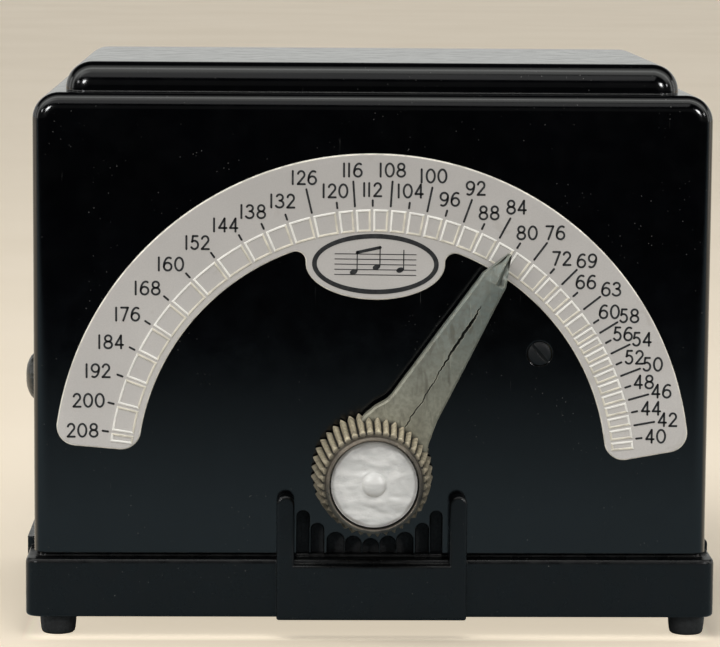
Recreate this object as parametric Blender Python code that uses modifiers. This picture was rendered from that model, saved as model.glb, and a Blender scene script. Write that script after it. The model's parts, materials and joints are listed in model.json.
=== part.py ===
"""Mains electric metronome: a black moulded case on a tray, a turning pointer, and its movement.

The pointer's shaft drives a rack that slides a rubber roller across a turning friction disc,
so the roller's shaft and its cam run faster or slower, and the cam lets a hammer tap a block.
Dimensions are in millimetres. X runs to the right, Z up from the floor, and Y backwards from
the front face of the tray. FRONT_Y and CENTRE_X then move everything so that the origin is
the bottom centre of the whole object, switch knob and coiled cord included.
"""

from math import acos, atan2, cos, degrees, hypot, pi, radians, sin, tan

import bmesh
import bpy
from mathutils import Matrix, Vector

MM = 0.001
GAP = 0.3                      # clearance between neighbouring solids
FRONT_Y = -67.88               # where the tray's front face lies in the finished frame
CENTRE_X = 1.0                 # where the case's centre plane lies in the finished frame

# Tray and case
BASE_HALF_W, BASE_DEPTH = 70.2, 88.0
BASE_Z0, BASE_Z1 = 4.5, 16.5
BASE_WALL, BASE_FLOOR = 5.0, 2.5
RIM_Z = 17.2
CASE_HALF_W, CASE_Y0, CASE_Y1 = 68.3, 1.9, 86.0
CASE_Z0, SHOULDER_Z, TOP_Z = 17.5, 111.2, 117.1
TOP_HALF_W, TOP_Y0, TOP_Y1 = 62.3, 8.1, 85.4
WALL = 3.0
CASE_IN_X, CASE_IN_Y = CASE_HALF_W - WALL, CASE_Y0 + WALL
CASE_CORNER, TOP_CORNER, EDGE_ROUND = 6.5, 6.0, 3.0
SCREW_SPOTS = ((-56, 12), (56, 12), (-56, 76), (56, 76))       # X and Y, tray to case
FOOT_SPOTS = ((-64.8, 8), (64.8, 8), (-64.8, 80), (64.8, 80))  # X and Y
COVER_SPOTS = ((-58, 62), (58, 62))                            # X and Z, cover to case
COVER_Y0 = 83.0

# Dial, pointer and grille, all centred on the pointer's shaft
DIAL_X, DIAL_Z = 0.3, 34.64
DIAL_R_OUT, DIAL_R_IN, DIAL_END_DEG, DIAL_CORNER = 64.72, 47.64, 4.3, 4.0
DIAL_TILT_DEG = -0.5           # the plate sits half a degree clockwise
DIAL_Y0, DIAL_Y1 = 1.0, 1.6
BADGE_RISE, BADGE_HALF_W, BADGE_HALF_H = 42.4, 14.1, 7.3
POINTER_DEG = 58.6             # the pointer's direction at rest, anticlockwise from +X
POINTER_TIP_R, POINTER_Y0, POINTER_Y1 = 53.0, -4.6, -1.0
BARREL_Y0, BARREL_Y1 = -13.0, 0.6
BARREL_TEETH, BARREL_R_REAR, BARREL_R_FRONT, TOOTH_DEPTH = 40, 12.5, 11.4, 1.1
SHAFT_R = 3.0
PANEL_HALF_W, PANEL_Y0, PANEL_Y1, PANEL_Z0, PANEL_Z1 = 19.35, -2.2, 1.6, 4.3, 15.7
POST_W, POST_TOP_Z = 3.6, 30.0
SLOTS = ((-15.2, -12.8, 26.2), (-12.3, -9.8, 23.6), (-9.0, -5.6, 21.7), (-5.4, -2.1, 20.9),
         (-1.8, 1.5, 20.4), (1.8, 5.0, 20.9), (5.2, 8.5, 21.7), (9.1, 11.7, 23.6),
         (12.1, 14.4, 26.2))   # left, right and top of each sound slot

# Movement
RACK_MODULE, RACK_PINION_TEETH = 0.6, 18
GEAR_MODULE, ROTOR_TEETH, DISC_TEETH = 0.84, 12, 48
DISC_X, WORK_Z = 0.73, 60.0    # the friction disc's axis
DISC_R, DISC_Y0, DISC_Y1 = 21.5, 32.3, 35.3
ROLLER_Y, ROLLER_R = 24.0, 8.0
ROLLER_X = DISC_X - 8.73       # at rest; nearer the disc's centre is slower
PLATE_A, PLATE_B = (38.0, 39.5), (52.0, 53.5)
ROTOR_X = DISC_X + GEAR_MODULE * (ROTOR_TEETH + DISC_TEETH) / 2 + 0.1
RAIL_Y, RAIL_Z, RAIL_R = 20.0, 48.5, 1.5
BRACKET_X, BRACKET_T = 24.0, 1.5   # inner faces, either side, and thickness
CAM_X0, CAM_X1, CAM_R, LOBE_R = -32.0, -28.5, 5.0, 7.3
CAM_POINTS, LOBE_HALF_DEG = 48, 22.5
CAM_LOBE_DEG = -162.0          # the lobe's direction at rest, from +Y towards +Z
HAMMER_Y, HAMMER_Z = 33.0, 41.0
SWITCH_Y, SWITCH_Z = 40.0, 48.5
SCREW_X, SCREW_Z = 34.2, 58.8  # front screw and the standoff behind it
HIDDEN_X, HIDDEN_Z = -40.0, 80.0

# Cord
CORD_R, CORD_X, CORD_Z = 2.4, 40.0, 26.0
COIL_Y, COIL_A, COIL_B, COIL_TURNS, COIL_PITCH = 126.0, 52.0, 24.0, 2.45, 5.6
PLUG_X, PLUG_Z, PLUG_HALF, PLUG_LENGTH = -14.0, 8.1, 8.0, 22.0
BLADE_HALF_GAP, BLADE_LENGTH, BLADE_HALF_T, BLADE_HALF_W = 6.35, 15.0, 0.75, 3.1

BLACK = (0.012, 0.012, 0.013)
STEEL = (0.55, 0.55, 0.56)
BRASS = (0.62, 0.45, 0.18)
RUBBER = (0.02, 0.02, 0.02)


# ---------------------------------------------------------------- scene and helpers

def clear_scene():
    for obj in list(bpy.data.objects):
        bpy.data.objects.remove(obj, do_unlink=True)


def new_collection(name):
    collection = bpy.data.collections.new(name)
    bpy.context.scene.collection.children.link(collection)
    return collection


clear_scene()
PARTS = new_collection("electric_metronome")
CUTTERS = new_collection("cutters")
FRAME = bpy.data.objects.new("metronome_frame", None)
FRAME.location = (CENTRE_X * MM, FRONT_Y * MM, 0.0)
PARTS.objects.link(FRAME)


def point(x, y, z):
    return Vector((x, y, z)) * MM


def paint(obj, colour, roughness, metallic=0.0):
    """Give an object its own plain material and smooth shading on its round faces."""
    mat = bpy.data.materials.new(obj.name)
    mat.use_nodes = True
    shader = mat.node_tree.nodes["Principled BSDF"]
    shader.inputs["Base Color"].default_value = (*colour, 1.0)
    shader.inputs["Roughness"].default_value = roughness
    shader.inputs["Metallic"].default_value = metallic
    obj.data.materials.clear()
    obj.data.materials.append(mat)
    obj.data.shade_smooth()
    obj.data.set_sharp_from_angle(angle=radians(35))
    return obj


def add_object(name, data, collection):
    obj = bpy.data.objects.new(name, data)
    collection.objects.link(obj)
    obj.parent = FRAME
    if collection is CUTTERS:
        obj.hide_render = True
        obj.display_type = 'WIRE'
    return obj


def from_bmesh(name, bm, collection):
    mesh = bpy.data.meshes.new(name)
    bm.to_mesh(mesh)
    bm.free()
    return add_object(name, mesh, collection)


def add_box(bm, low, high):
    low, high = Vector(low), Vector(high)
    size = (high - low) * MM
    matrix = Matrix.Translation((low + high) / 2 * MM) @ Matrix.Diagonal((*size, 1.0))
    bmesh.ops.create_cube(bm, size=1.0, matrix=matrix)


def add_rod(bm, start, end, radius, segments=24, end_radius=None):
    start, end = Vector(start) * MM, Vector(end) * MM
    axis = end - start
    turn = axis.to_track_quat('Z', 'Y').to_matrix().to_4x4()
    far = radius if end_radius is None else end_radius
    return bmesh.ops.create_cone(bm, cap_ends=True, segments=segments, radius1=radius * MM,
                                 radius2=far * MM, depth=axis.length,
                                 matrix=Matrix.Translation((start + end) / 2) @ turn)


def boxes(name, corners, collection):
    """One object made of a box for each (low, high) pair of corners."""
    bm = bmesh.new()
    for low, high in corners:
        add_box(bm, low, high)
    return from_bmesh(name, bm, collection)


def rods(name, ends, collection, segments=24):
    """One object made of a round bar for each (start, end, radius)."""
    bm = bmesh.new()
    for start, end, radius in ends:
        add_rod(bm, start, end, radius, segments)
    return from_bmesh(name, bm, collection)


def curve_to_mesh(name, curve, matrix, collection):
    """Turn a curve into a welded mesh object in the metronome's frame."""
    source = bpy.data.objects.new(name + "_curve", curve)
    source.matrix_world = matrix
    bpy.context.scene.collection.objects.link(source)
    depsgraph = bpy.context.evaluated_depsgraph_get()
    mesh = bpy.data.meshes.new_from_object(source.evaluated_get(depsgraph))
    mesh.transform(matrix)
    bpy.data.objects.remove(source, do_unlink=True)
    bm = bmesh.new()
    bm.from_mesh(mesh)
    bmesh.ops.remove_doubles(bm, verts=bm.verts, dist=1e-6)
    bmesh.ops.recalc_face_normals(bm, faces=bm.faces)
    bm.to_mesh(mesh)
    bm.free()
    return add_object(name, mesh, collection)


# Each basis turns an outline's (u, v) and its thickness w into the frame's axes.
FRONT_VIEW = Matrix(((1, 0, 0, 0), (0, 0, -1, 0), (0, 1, 0, 0), (0, 0, 0, 1)))    # u=X, v=Z
SIDE_VIEW = Matrix(((0, 0, 1, 0), (1, 0, 0, 0), (0, 1, 0, 0), (0, 0, 0, 1)))      # u=Y, v=Z
PLAN_VIEW = Matrix.Identity(4)                                                    # u=X, v=Y


def extrude(name, outlines, near, far, view=FRONT_VIEW, collection=PARTS):
    """A flat shape of closed outlines, filled and given thickness from near to far."""
    curve = bpy.data.curves.new(name, 'CURVE')
    curve.dimensions = '2D'
    curve.fill_mode = 'BOTH'
    curve.extrude = (far - near) / 2 * MM
    for outline in outlines:
        spline = curve.splines.new('POLY')
        spline.points.add(len(outline) - 1)
        for target, (u, v) in zip(spline.points, outline):
            target.co = (u * MM, v * MM, 0.0, 1.0)
        spline.use_cyclic_u = True
    middle = (near + far) / 2 * MM
    offset = Vector((0, 0, -middle if view is FRONT_VIEW else middle))
    return curve_to_mesh(name, curve, view @ Matrix.Translation(offset), collection)


def tube(name, path, radius, collection=PARTS):
    """A round wire or cord along a path, with filled ends."""
    curve = bpy.data.curves.new(name, 'CURVE')
    curve.dimensions = '3D'
    curve.bevel_depth = radius * MM
    curve.bevel_resolution = 1
    curve.use_fill_caps = True
    spline = curve.splines.new('POLY')
    spline.points.add(len(path) - 1)
    for target, place in zip(spline.points, path):
        target.co = (*(Vector(place) * MM), 1.0)
    return curve_to_mesh(name, curve, Matrix.Identity(4), collection)


def turned(name, profile, origin, axis, collection=PARTS, steps=32):
    """A turned piece: (radius, height) points, spun about an axis through the origin.

    The profile is a closed ring, or an open line whose two ends lie on the axis.
    """
    ring = all(radius > 0 for radius, _ in profile)
    closed = list(profile) + [profile[0]]
    area = sum(a[0] * b[1] - b[0] * a[1] for a, b in zip(closed, closed[1:]))
    ordered = list(profile) if area < 0 else list(reversed(profile))
    bm = bmesh.new()
    verts = [bm.verts.new((radius * MM, 0.0, height * MM)) for radius, height in ordered]
    for first, second in zip(verts, verts[1:] + verts[:1] if ring else verts[1:]):
        bm.edges.new((first, second))
    obj = from_bmesh(name, bm, collection)
    obj.location = point(*origin)
    obj.rotation_mode = 'QUATERNION'
    obj.rotation_quaternion = Vector(axis).to_track_quat('Z', 'Y')
    screw = obj.modifiers.new("spin", 'SCREW')
    screw.axis = 'Z'
    screw.steps = screw.render_steps = steps
    screw.use_merge_vertices = True
    screw.merge_threshold = 0.00001
    screw.use_smooth_shade = True
    return obj


def bevel(obj, width, segments, angle=40):
    modifier = obj.modifiers.new("rounded edges", 'BEVEL')
    modifier.width = width * MM
    modifier.segments = segments
    modifier.limit_method = 'ANGLE'
    modifier.angle_limit = radians(angle)
    return obj


def combine(obj, other, operation, solver='EXACT'):
    modifier = obj.modifiers.new(other.name, 'BOOLEAN')
    modifier.operation = operation
    modifier.solver = solver
    modifier.object = other


def cut(obj, other):
    combine(obj, other, 'DIFFERENCE')


def join(obj, other):
    combine(obj, other, 'UNION')


def drill(obj, ends, segments=24):
    """Cut a round hole for each (start, end, radius)."""
    cut(obj, rods(obj.name + "_holes", ends, CUTTERS, segments))


def pivot_at(obj, x, y, z):
    """Move a piece's origin onto its joint's axis and leave the piece where it is."""
    place = point(x, y, z)
    obj.data.transform(Matrix.Translation(-place))
    obj.location = place
    return obj


# ---------------------------------------------------------------- outlines

def arc(centre, radius, start_deg, end_deg, steps):
    angles = [start_deg + (end_deg - start_deg) * i / steps for i in range(steps + 1)]
    return [(centre[0] + radius * cos(radians(a)), centre[1] + radius * sin(radians(a)))
            for a in angles]


def rounded_rectangle(u0, v0, u1, v1, radius, steps=5):
    corners = (((u1 - radius, v1 - radius), 0), ((u0 + radius, v1 - radius), 90),
               ((u0 + radius, v0 + radius), 180), ((u1 - radius, v0 + radius), 270))
    return [p for centre, start in corners for p in arc(centre, radius, start, start + 90, steps)]


def arch(half_width, bottom, top, radius):
    """An outline with square feet and rounded shoulders."""
    right = arc((half_width - radius, top - radius), radius, 0, 90, 8)
    left = arc((radius - half_width, top - radius), radius, 90, 180, 8)
    return [(half_width, bottom)] + right + left + [(-half_width, bottom)]


def round_topped(left, right, bottom, top, steps=8):
    radius = (right - left) / 2
    crown = arc(((left + right) / 2, top - radius), radius, 0, 180, steps)
    return [(right, bottom)] + crown + [(left, bottom)]


def circle(centre, radius, steps=24):
    return arc(centre, radius, 0, 360 * (1 - 1 / steps), steps - 1)


def involute_angle(radius, base_radius):
    pressure = acos(min(1.0, base_radius / radius))
    return tan(pressure) - pressure


def gear_outline(centre, teeth, module, first_deg, play=0.12, flank_points=4):
    """Involute teeth of a 20 degree gear; first_deg is the direction of one tooth."""
    pitch_radius = teeth * module / 2
    base_radius = pitch_radius * cos(radians(20))
    root, tip = pitch_radius - 1.2 * module, pitch_radius + 0.95 * module
    half_pitch_angle = (pi * module / 2 - play) / 2 / pitch_radius
    rim = involute_angle(pitch_radius, base_radius)
    start = max(root, base_radius)
    radii = [start + (tip - start) * i / (flank_points - 1) for i in range(flank_points)]
    flank = [(r, half_pitch_angle + rim - involute_angle(r, base_radius)) for r in radii]
    foot_angle = min(flank[0][1], 0.92 * pi / teeth)
    side = [(root, foot_angle)] + (flank[1:] if start == root else flank)
    outline = []
    for tooth in range(teeth):
        middle = radians(first_deg) + 2 * pi * tooth / teeth
        polar = [(r, middle - a) for r, a in side] + [(r, middle + a) for r, a in reversed(side)]
        outline += [(centre[0] + r * cos(a), centre[1] + r * sin(a)) for r, a in polar]
    return outline


def turn_point(u, v, degrees_ccw, centre):
    a = radians(degrees_ccw)
    return centre[0] + u * cos(a) - v * sin(a), centre[1] + u * sin(a) + v * cos(a)


# ---------------------------------------------------------------- tray, case and cover

def base_tray():
    plan = rounded_rectangle(-BASE_HALF_W, 0, BASE_HALF_W, BASE_DEPTH, 2.5)
    tray = bevel(extrude("base_tray", [plan], BASE_Z0, BASE_Z1, PLAN_VIEW), 0.6, 1)
    rim_inset = 2.9
    rim = rounded_rectangle(-BASE_HALF_W + rim_inset, rim_inset, BASE_HALF_W - rim_inset,
                            BASE_DEPTH - rim_inset, 2.0)
    join(tray, extrude("tray_rim", [rim], BASE_Z0 + 2, RIM_Z, PLAN_VIEW, CUTTERS))
    hollow = rounded_rectangle(-BASE_HALF_W + BASE_WALL, BASE_WALL, BASE_HALF_W - BASE_WALL,
                               BASE_DEPTH - BASE_WALL, 2.0)
    cut(tray, extrude("tray_hollow", [hollow], BASE_Z0 + BASE_FLOOR, RIM_Z + 5, PLAN_VIEW,
                      CUTTERS))
    join(tray, front_panel())
    join(tray, extrude("side_lugs", side_lug_outlines(), 9.0, 15.0, collection=CUTTERS))
    columns = [((x, y, BASE_Z0 + 0.8), (x, y, RIM_Z), 4.4) for x, y in SCREW_SPOTS]
    combine(tray, rods("tray_columns", columns, CUTTERS, 16), 'UNION', 'MANIFOLD')
    holes = [((x, y, 0), (x, y, 30), 1.8) for x, y in SCREW_SPOTS]
    holes += [((x, y, 0), (x, y, BASE_Z0 + 4), 1.8) for x, y in FOOT_SPOTS]
    drill(tray, holes, 12)
    recesses = [((x, y, 0), (x, y, BASE_Z0 + 2.3), 3.3) for x, y in SCREW_SPOTS]
    combine(tray, rods("tray_screw_recess", recesses, CUTTERS, 16), 'DIFFERENCE', 'MANIFOLD')
    return paint(tray, BLACK, 0.3)


def front_panel():
    """The panel on the tray's front, and its two posts, in one U-shaped outline."""
    left, right = DIAL_X - PANEL_HALF_W, DIAL_X + PANEL_HALF_W
    radius = POST_W / 2
    right_post = arc((right - radius, POST_TOP_Z - radius), radius, 0, 180, 8)
    left_post = arc((left + radius, POST_TOP_Z - radius), radius, 0, 180, 8)
    outline = [(right, PANEL_Z0)] + right_post
    outline += [(right - POST_W, PANEL_Z1), (left + POST_W, PANEL_Z1)]
    outline += left_post + [(left, PANEL_Z0)]
    panel = extrude("front_panel", [outline], PANEL_Y0, PANEL_Y1, collection=CUTTERS)
    return bevel(panel, 0.4, 1)


def side_lug_outlines():
    """A small lug on each side ledge of the tray: rounded on the right, sloping on the left."""
    inner, outer, low = CASE_HALF_W + GAP, BASE_HALF_W + 0.4, BASE_Z0 + 3.3
    right = [(outer, low)] + arc((outer - 1.2, 16.9), 1.2, 0, 90, 5) + [(inner, 18.1), (inner, low)]
    left = [(-inner, low), (-inner, 19.8), (-outer, 17.4), (-outer, low)]
    return [right, left]


def case_shell():
    case = extrude("case_shell", [arch(CASE_HALF_W, CASE_Z0 - 8, SHOULDER_Z, CASE_CORNER)],
                   CASE_Y0, CASE_Y1)
    bevel(case, EDGE_ROUND, 3)
    top = extrude("case_top", [arch(TOP_HALF_W, SHOULDER_Z - 8, TOP_Z, TOP_CORNER)],
                  TOP_Y0, TOP_Y1, collection=CUTTERS)
    join(case, bevel(top, EDGE_ROUND, 3))
    inside = extrude("case_hollow", [arch(CASE_IN_X, 0, SHOULDER_Z - 3.5, 4)],
                     CASE_IN_Y, CASE_Y1 + 5, collection=CUTTERS)
    cut(case, inside)
    cut(case, boxes("case_top_hollow", [((-58, 12, SHOULDER_Z - 8), (58, 81, TOP_Z - 3.5))],
                    CUTTERS))
    blocks = [((min(s * 51, s * 66.5), y0, 10), (max(s * 51, s * 66.5), y1, 28))
              for s in (-1, 1) for y0, y1 in ((3.5, 16.5), (71, 82.5))]
    blocks += [((min(s * 52, s * 66.5), 71, 56), (max(s * 52, s * 66.5), 82.5, 68))
               for s in (-1, 1)]
    join(case, boxes("case_blocks", blocks, CUTTERS))
    cut(case, boxes("below_case", [((-90, -10, -10), (90, 100, CASE_Z0))], CUTTERS))
    slots = [round_topped(a + DIAL_X, b + DIAL_X, CASE_Z0 - 3, top) for a, b, top in SLOTS]
    cut(case, extrude("sound_slots", slots, CASE_Y0 - 3, CASE_IN_Y + 1, collection=CUTTERS))
    drill(case, [((x, y, 10), (x, y, 26.5), 1.8) for x, y in SCREW_SPOTS]
          + [((x, 73, z), (x, 90, z), 1.8) for x, z in COVER_SPOTS]
          + [((DIAL_X, -2, DIAL_Z), (DIAL_X, 8, DIAL_Z), 5.3),
             ((SCREW_X, -2, SCREW_Z), (SCREW_X, 8, SCREW_Z), 1.8),
             ((HIDDEN_X, -2, HIDDEN_Z), (HIDDEN_X, 8, HIDDEN_Z), 1.8),
             ((-75, SWITCH_Y, SWITCH_Z), (-60, SWITCH_Y, SWITCH_Z), 3.8)], 14)
    cut(case, rods("screw_seats", [
        ((SCREW_X, 0, SCREW_Z), (SCREW_X, CASE_Y0 + 1.2, SCREW_Z), 2.7),
        ((HIDDEN_X, 0, HIDDEN_Z), (HIDDEN_X, CASE_Y0 + 1.7, HIDDEN_Z), 2.9)], CUTTERS, 16))
    return paint(case, BLACK, 0.12)


def back_cover():
    half_w, z0, z1 = CASE_IN_X - 0.4, CASE_Z0 + 0.4, SHOULDER_Z - 4.2
    plate = rounded_rectangle(-half_w, z0, half_w, z1, 4)
    vents = [rounded_rectangle(x - 1.5, z - 7, x + 1.5, z + 7, 1.4, 2)
             for z in (44, 84) for x in range(-30, 31, 10)]
    holes = [circle((x, z), 1.8, 12) for x, z in COVER_SPOTS]
    cord_hole = circle((CORD_X, CORD_Z), 4.3, 20)
    cover = extrude("back_cover", [plate, cord_hole] + vents + holes, COVER_Y0, CASE_Y1)
    return paint(cover, (0.02, 0.018, 0.016), 0.5)


def foot(name, x, y):
    profile = [(0, 8.0), (1.4, 8.0), (1.4, 4.2), (3.75, 4.2), (3.4, 1.2), (2.6, 0.0), (0, 0)]
    return paint(turned(name, profile, (x, y, 0), (0, 0, 1), steps=16), RUBBER, 0.7)


def pan_screw(name, head, direction, head_radius, head_height, length, slot_deg=0.0,
              shank_radius=1.4, colour=STEEL, roughness=0.35, metallic=1.0):
    """A slotted screw: head is the centre of the head's outer face, direction points in."""
    head, direction = Vector(head), Vector(direction)
    screw = rods(name, [(head, head + direction * head_height, head_radius)], PARTS, 16)
    start = head + direction * head_height * 0.5
    shank = [(start, head + direction * (head_height + length), shank_radius)]
    join(screw, rods(name + "_shank", shank, CUTTERS, 10))
    slot = bmesh.new()
    add_box(slot, (-head_radius - 1, -0.3, -1), (head_radius + 1, 0.3, 0.4 * head_height))
    slot.transform(Matrix.Translation(head * MM) @ direction.to_track_quat('Z', 'Y')
                   .to_matrix().to_4x4() @ Matrix.Rotation(radians(slot_deg), 4, 'Z'))
    cut(screw, from_bmesh(name + "_slot", slot, CUTTERS))
    return paint(screw, colour, roughness, metallic)


def case_fasteners():
    for x, y in FOOT_SPOTS:
        depth = "front" if y < BASE_DEPTH / 2 else "rear"
        foot(f"foot_{depth}_{'left' if x < 0 else 'right'}", x, y)
    for index, (x, y) in enumerate(SCREW_SPOTS):
        pan_screw(f"base_screw_{index + 1}", (x, y, 4.7), (0, 0, 1), 2.9, 1.7, 18, 20 * index)
    for name, (x, z) in zip(("back_screw_left", "back_screw_right"), COVER_SPOTS):
        pan_screw(name, (x, 88.0, z), (0, -1, 0), 2.9, 1.7, 11, 35)
    pan_screw("front_screw", (SCREW_X, 1.4, SCREW_Z), (0, 1, 0), 2.4, 1.4, 12, 42,
              colour=(0.02, 0.02, 0.02), roughness=0.4)
    pan_screw("hidden_screw", (HIDDEN_X, 2.0, HIDDEN_Z), (0, 1, 0), 2.6, 1.3, 12, 10)


def grille_baffle():
    baffle = boxes("grille_baffle", [((-20, 5.2, 12.0), (20.6, 6.0, 27.3))], PARTS)
    return paint(baffle, (0.02, 0.02, 0.022), 0.6)


# ---------------------------------------------------------------- dial and pointer

def dial_band():
    """The outline of an arc of sheet with rounded corners, about the pointer's shaft."""
    low, high = DIAL_END_DEG, 180 - DIAL_END_DEG
    outline = []
    for rim, middle, first, last, turn in (
            (DIAL_R_OUT, DIAL_R_OUT - DIAL_CORNER, low, high, 0),
            (DIAL_R_IN, DIAL_R_IN + DIAL_CORNER, high, low, 180)):
        inset = degrees(DIAL_CORNER / middle) * (1 if last > first else -1)
        start, stop = first + inset, last - inset
        start_corner, stop_corner = (turn_point(middle, 0, a, (0, 0)) for a in (start, stop))
        outline += arc(start_corner, DIAL_CORNER, first + turn - 90, start + turn, 5)[:-1]
        outline += arc((0, 0), rim, start, stop, 48)
        outline += arc(stop_corner, DIAL_CORNER, stop + turn, last + turn + 90, 5)[1:]
    return outline


def dial_plate():
    """The arc of sheet, joined to an oval tab at the inside of its top."""
    centre = (DIAL_X, DIAL_Z)
    band = [turn_point(u, v, DIAL_TILT_DEG, centre) for u, v in dial_band()]
    plate = extrude("dial_plate", [band], DIAL_Y0, DIAL_Y1)
    oval = [(BADGE_HALF_W * cos(2 * pi * i / 40), BADGE_RISE + BADGE_HALF_H
             * sin(2 * pi * i / 40)) for i in range(40)]
    oval = [turn_point(u, v, DIAL_TILT_DEG, centre) for u, v in oval]
    join(plate, extrude("badge_tab", [oval], DIAL_Y0, DIAL_Y1, collection=CUTTERS))
    return paint(plate, (0.45, 0.45, 0.44), 0.35, 1.0)


def pointer_arm():
    """The tapering arm and the toothed finger barrel, cast in one piece."""
    centre = (DIAL_X, DIAL_Z)
    half_widths = ((4.0, 7.5), (11.5, 6.2), (16.0, 5.3), (30.0, 4.1), (41.0, 3.1),
                   (48.0, 2.6))
    lower = [(u, -w) for u, w in reversed(half_widths)]
    outline = [*half_widths, (POINTER_TIP_R, 0.35), (POINTER_TIP_R, -0.35)] + lower
    outline = [turn_point(u, v, POINTER_DEG, centre) for u, v in outline]
    arm = extrude("pointer_arm", [outline], POINTER_Y0, POINTER_Y1)
    bevel(arm, 0.7, 2)
    join(arm, toothed_barrel())
    recess = [((DIAL_X, BARREL_Y0 - 1, DIAL_Z), (DIAL_X, BARREL_Y0 + 1.5, DIAL_Z), 9.6),
              ((DIAL_X, BARREL_Y0 + 1, DIAL_Z), (DIAL_X, 2, DIAL_Z), SHAFT_R + GAP)]
    cut(arm, rods("barrel_recess", recess[:1], CUTTERS, 40))
    cut(arm, rods("barrel_bore", recess[1:], CUTTERS, 24))
    return paint(pivot_at(arm, DIAL_X, 0, DIAL_Z), (0.2, 0.2, 0.17), 0.45, 0.8)


def toothed_barrel():
    """A cone of pointed teeth: every second corner of its many sides is drawn in."""
    bm = bmesh.new()
    add_rod(bm, (0, BARREL_Y1, 0), (0, BARREL_Y0, 0), BARREL_R_REAR, 2 * BARREL_TEETH,
            BARREL_R_FRONT)
    for vert in bm.verts:
        angle = atan2(vert.co.z, vert.co.x)
        if round(angle / (pi / BARREL_TEETH)) % 2:
            reach = hypot(vert.co.x, vert.co.z)
            scale = 1 - TOOTH_DEPTH * MM / reach
            vert.co.x *= scale
            vert.co.z *= scale
    bm.transform(Matrix.Translation(point(DIAL_X, 0, DIAL_Z)))
    return from_bmesh("barrel", bm, CUTTERS)


def knob_bezel():
    profile = [(8.8, 3.2), (9.2, 3.3), (10.2, 2.4), (10.3, 0.2), (9.3, 0.2), (9.3, -1.1),
               (8.8, -1.1)]
    ring = turned("knob_bezel", profile, (DIAL_X, BARREL_Y0 - 0.2, DIAL_Z), (0, -1, 0))
    return paint(ring, (0.16, 0.13, 0.09), 0.35, 0.9)


def knob_disc():
    profile = [(0, 3.0), (1.2, 2.8), (2.0, 2.4), (2.5, 2.0), (5.5, 2.1), (8.4, 1.9),
               (8.4, 1.3), (0, 1.3)]
    disc = turned("knob_disc", profile, (DIAL_X, BARREL_Y0 - 0.2, DIAL_Z), (0, -1, 0))
    return paint(disc, (0.75, 0.74, 0.72), 0.35, 0.4)


def pointer_shaft_group():
    axis = (DIAL_X, DIAL_Z)
    shaft = rods("pointer_shaft", [((axis[0], -11.5, axis[1]), (axis[0], 22, axis[1]),
                                    SHAFT_R)], PARTS)
    paint(pivot_at(shaft, axis[0], 0, axis[1]), STEEL, 0.3, 1.0)
    profile = [(SHAFT_R + GAP, 0), (SHAFT_R + GAP, -10), (5.0, -10), (5.0, -0.7), (7.0, -0.7),
               (7.0, 0)]
    bush = turned("shaft_bush", profile, (axis[0], 0.9, axis[1]), (0, -1, 0), steps=20)
    paint(bush, BRASS, 0.35, 1.0)
    nut = extrude("bush_nut", [circle(axis, 8.0, 6), circle(axis, 5.3, 20)], 5.2, 8.4)
    paint(nut, BRASS, 0.35, 1.0)
    teeth = gear_outline(axis, RACK_PINION_TEETH, RACK_MODULE, 90, flank_points=3)
    pinion = extrude("rack_pinion", [teeth, circle(axis, SHAFT_R + GAP, 16)], 16, 20)
    paint(pivot_at(pinion, axis[0], 18, axis[1]), BRASS, 0.35, 1.0)


# ---------------------------------------------------------------- switch

def mains_switch():
    place = (SWITCH_Y, SWITCH_Z)
    profile = [(0, 4.3), (2.6, 4.1), (4.3, 3.4), (5.3, 2.2), (5.6, 0.3), (5.0, 0.3),
               (5.0, 2.1), (1.8, 2.1), (1.8, 3.0), (0, 3.0)]
    knob = turned("switch_knob", profile, (-CASE_HALF_W, *place), (-1, 0, 0), steps=20)
    paint(knob, (0.03, 0.032, 0.028), 0.3)
    shaft = rods("switch_shaft", [((-71.0, *place), (-56, *place), 1.5)], PARTS, 16)
    paint(pivot_at(shaft, -60, *place), STEEL, 0.35, 1.0)
    body = boxes("switch_body", [((-64.6, place[0] - 8, place[1] - 8),
                                  (-50, place[0] + 8, place[1] + 8))], PARTS)
    bevel(body, 0.8, 2)
    neck = [((-70.2, *place), (-60, *place), 3.4)]
    join(body, rods("switch_neck", neck, CUTTERS, 20))
    drill(body, [((-72, *place), (-54, *place), 1.8)], 16)
    paint(body, (0.1, 0.05, 0.02), 0.4)
    nut = extrude("switch_nut", [circle(place, 4.7, 6), circle(place, 3.7, 20)], -70.1, -68.6,
                  SIDE_VIEW)
    paint(nut, STEEL, 0.35, 1.0)


# ---------------------------------------------------------------- movement

def movement_frame():
    """Two plates on three pillars, and the two standoffs that hold them to the case front."""
    shaft_hole = circle((DISC_X, WORK_Z), 2.3, 20)
    rotor_hole = circle((ROTOR_X, WORK_Z), 1.8, 16)
    outlines = (("movement_plate_front", PLATE_A, rounded_rectangle(-46, 34, 45, 88, 4)),
                ("movement_plate_rear", PLATE_B, rounded_rectangle(-42, 34, 45, 71.5, 4)))
    for name, (near, far), outline in outlines:
        plate = extrude(name, [outline, shaft_hole, rotor_hole], near, far)
        paint(plate, (0.6, 0.58, 0.5), 0.35, 1.0)
    for index, (x, z) in enumerate(((-37, 40), (-37, 66), (38, 39))):
        pillar = rods(f"pillar_{index + 1}", [((x, PLATE_A[1] + GAP, z),
                                               (x, PLATE_B[0] - GAP, z), 2.5)], PARTS, 16)
        paint(pillar, BRASS, 0.35, 1.0)
    for name, x, z in (("standoff_right", SCREW_X, SCREW_Z), ("standoff_left", HIDDEN_X,
                                                              HIDDEN_Z)):
        post = rods(name, [((x, CASE_IN_Y + GAP, z), (x, PLATE_A[0] - GAP, z), 3.0)], PARTS)
        drill(post, [((x, 0, z), (x, 17, z), 1.7)], 16)
        paint(post, BRASS, 0.35, 1.0)


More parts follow.
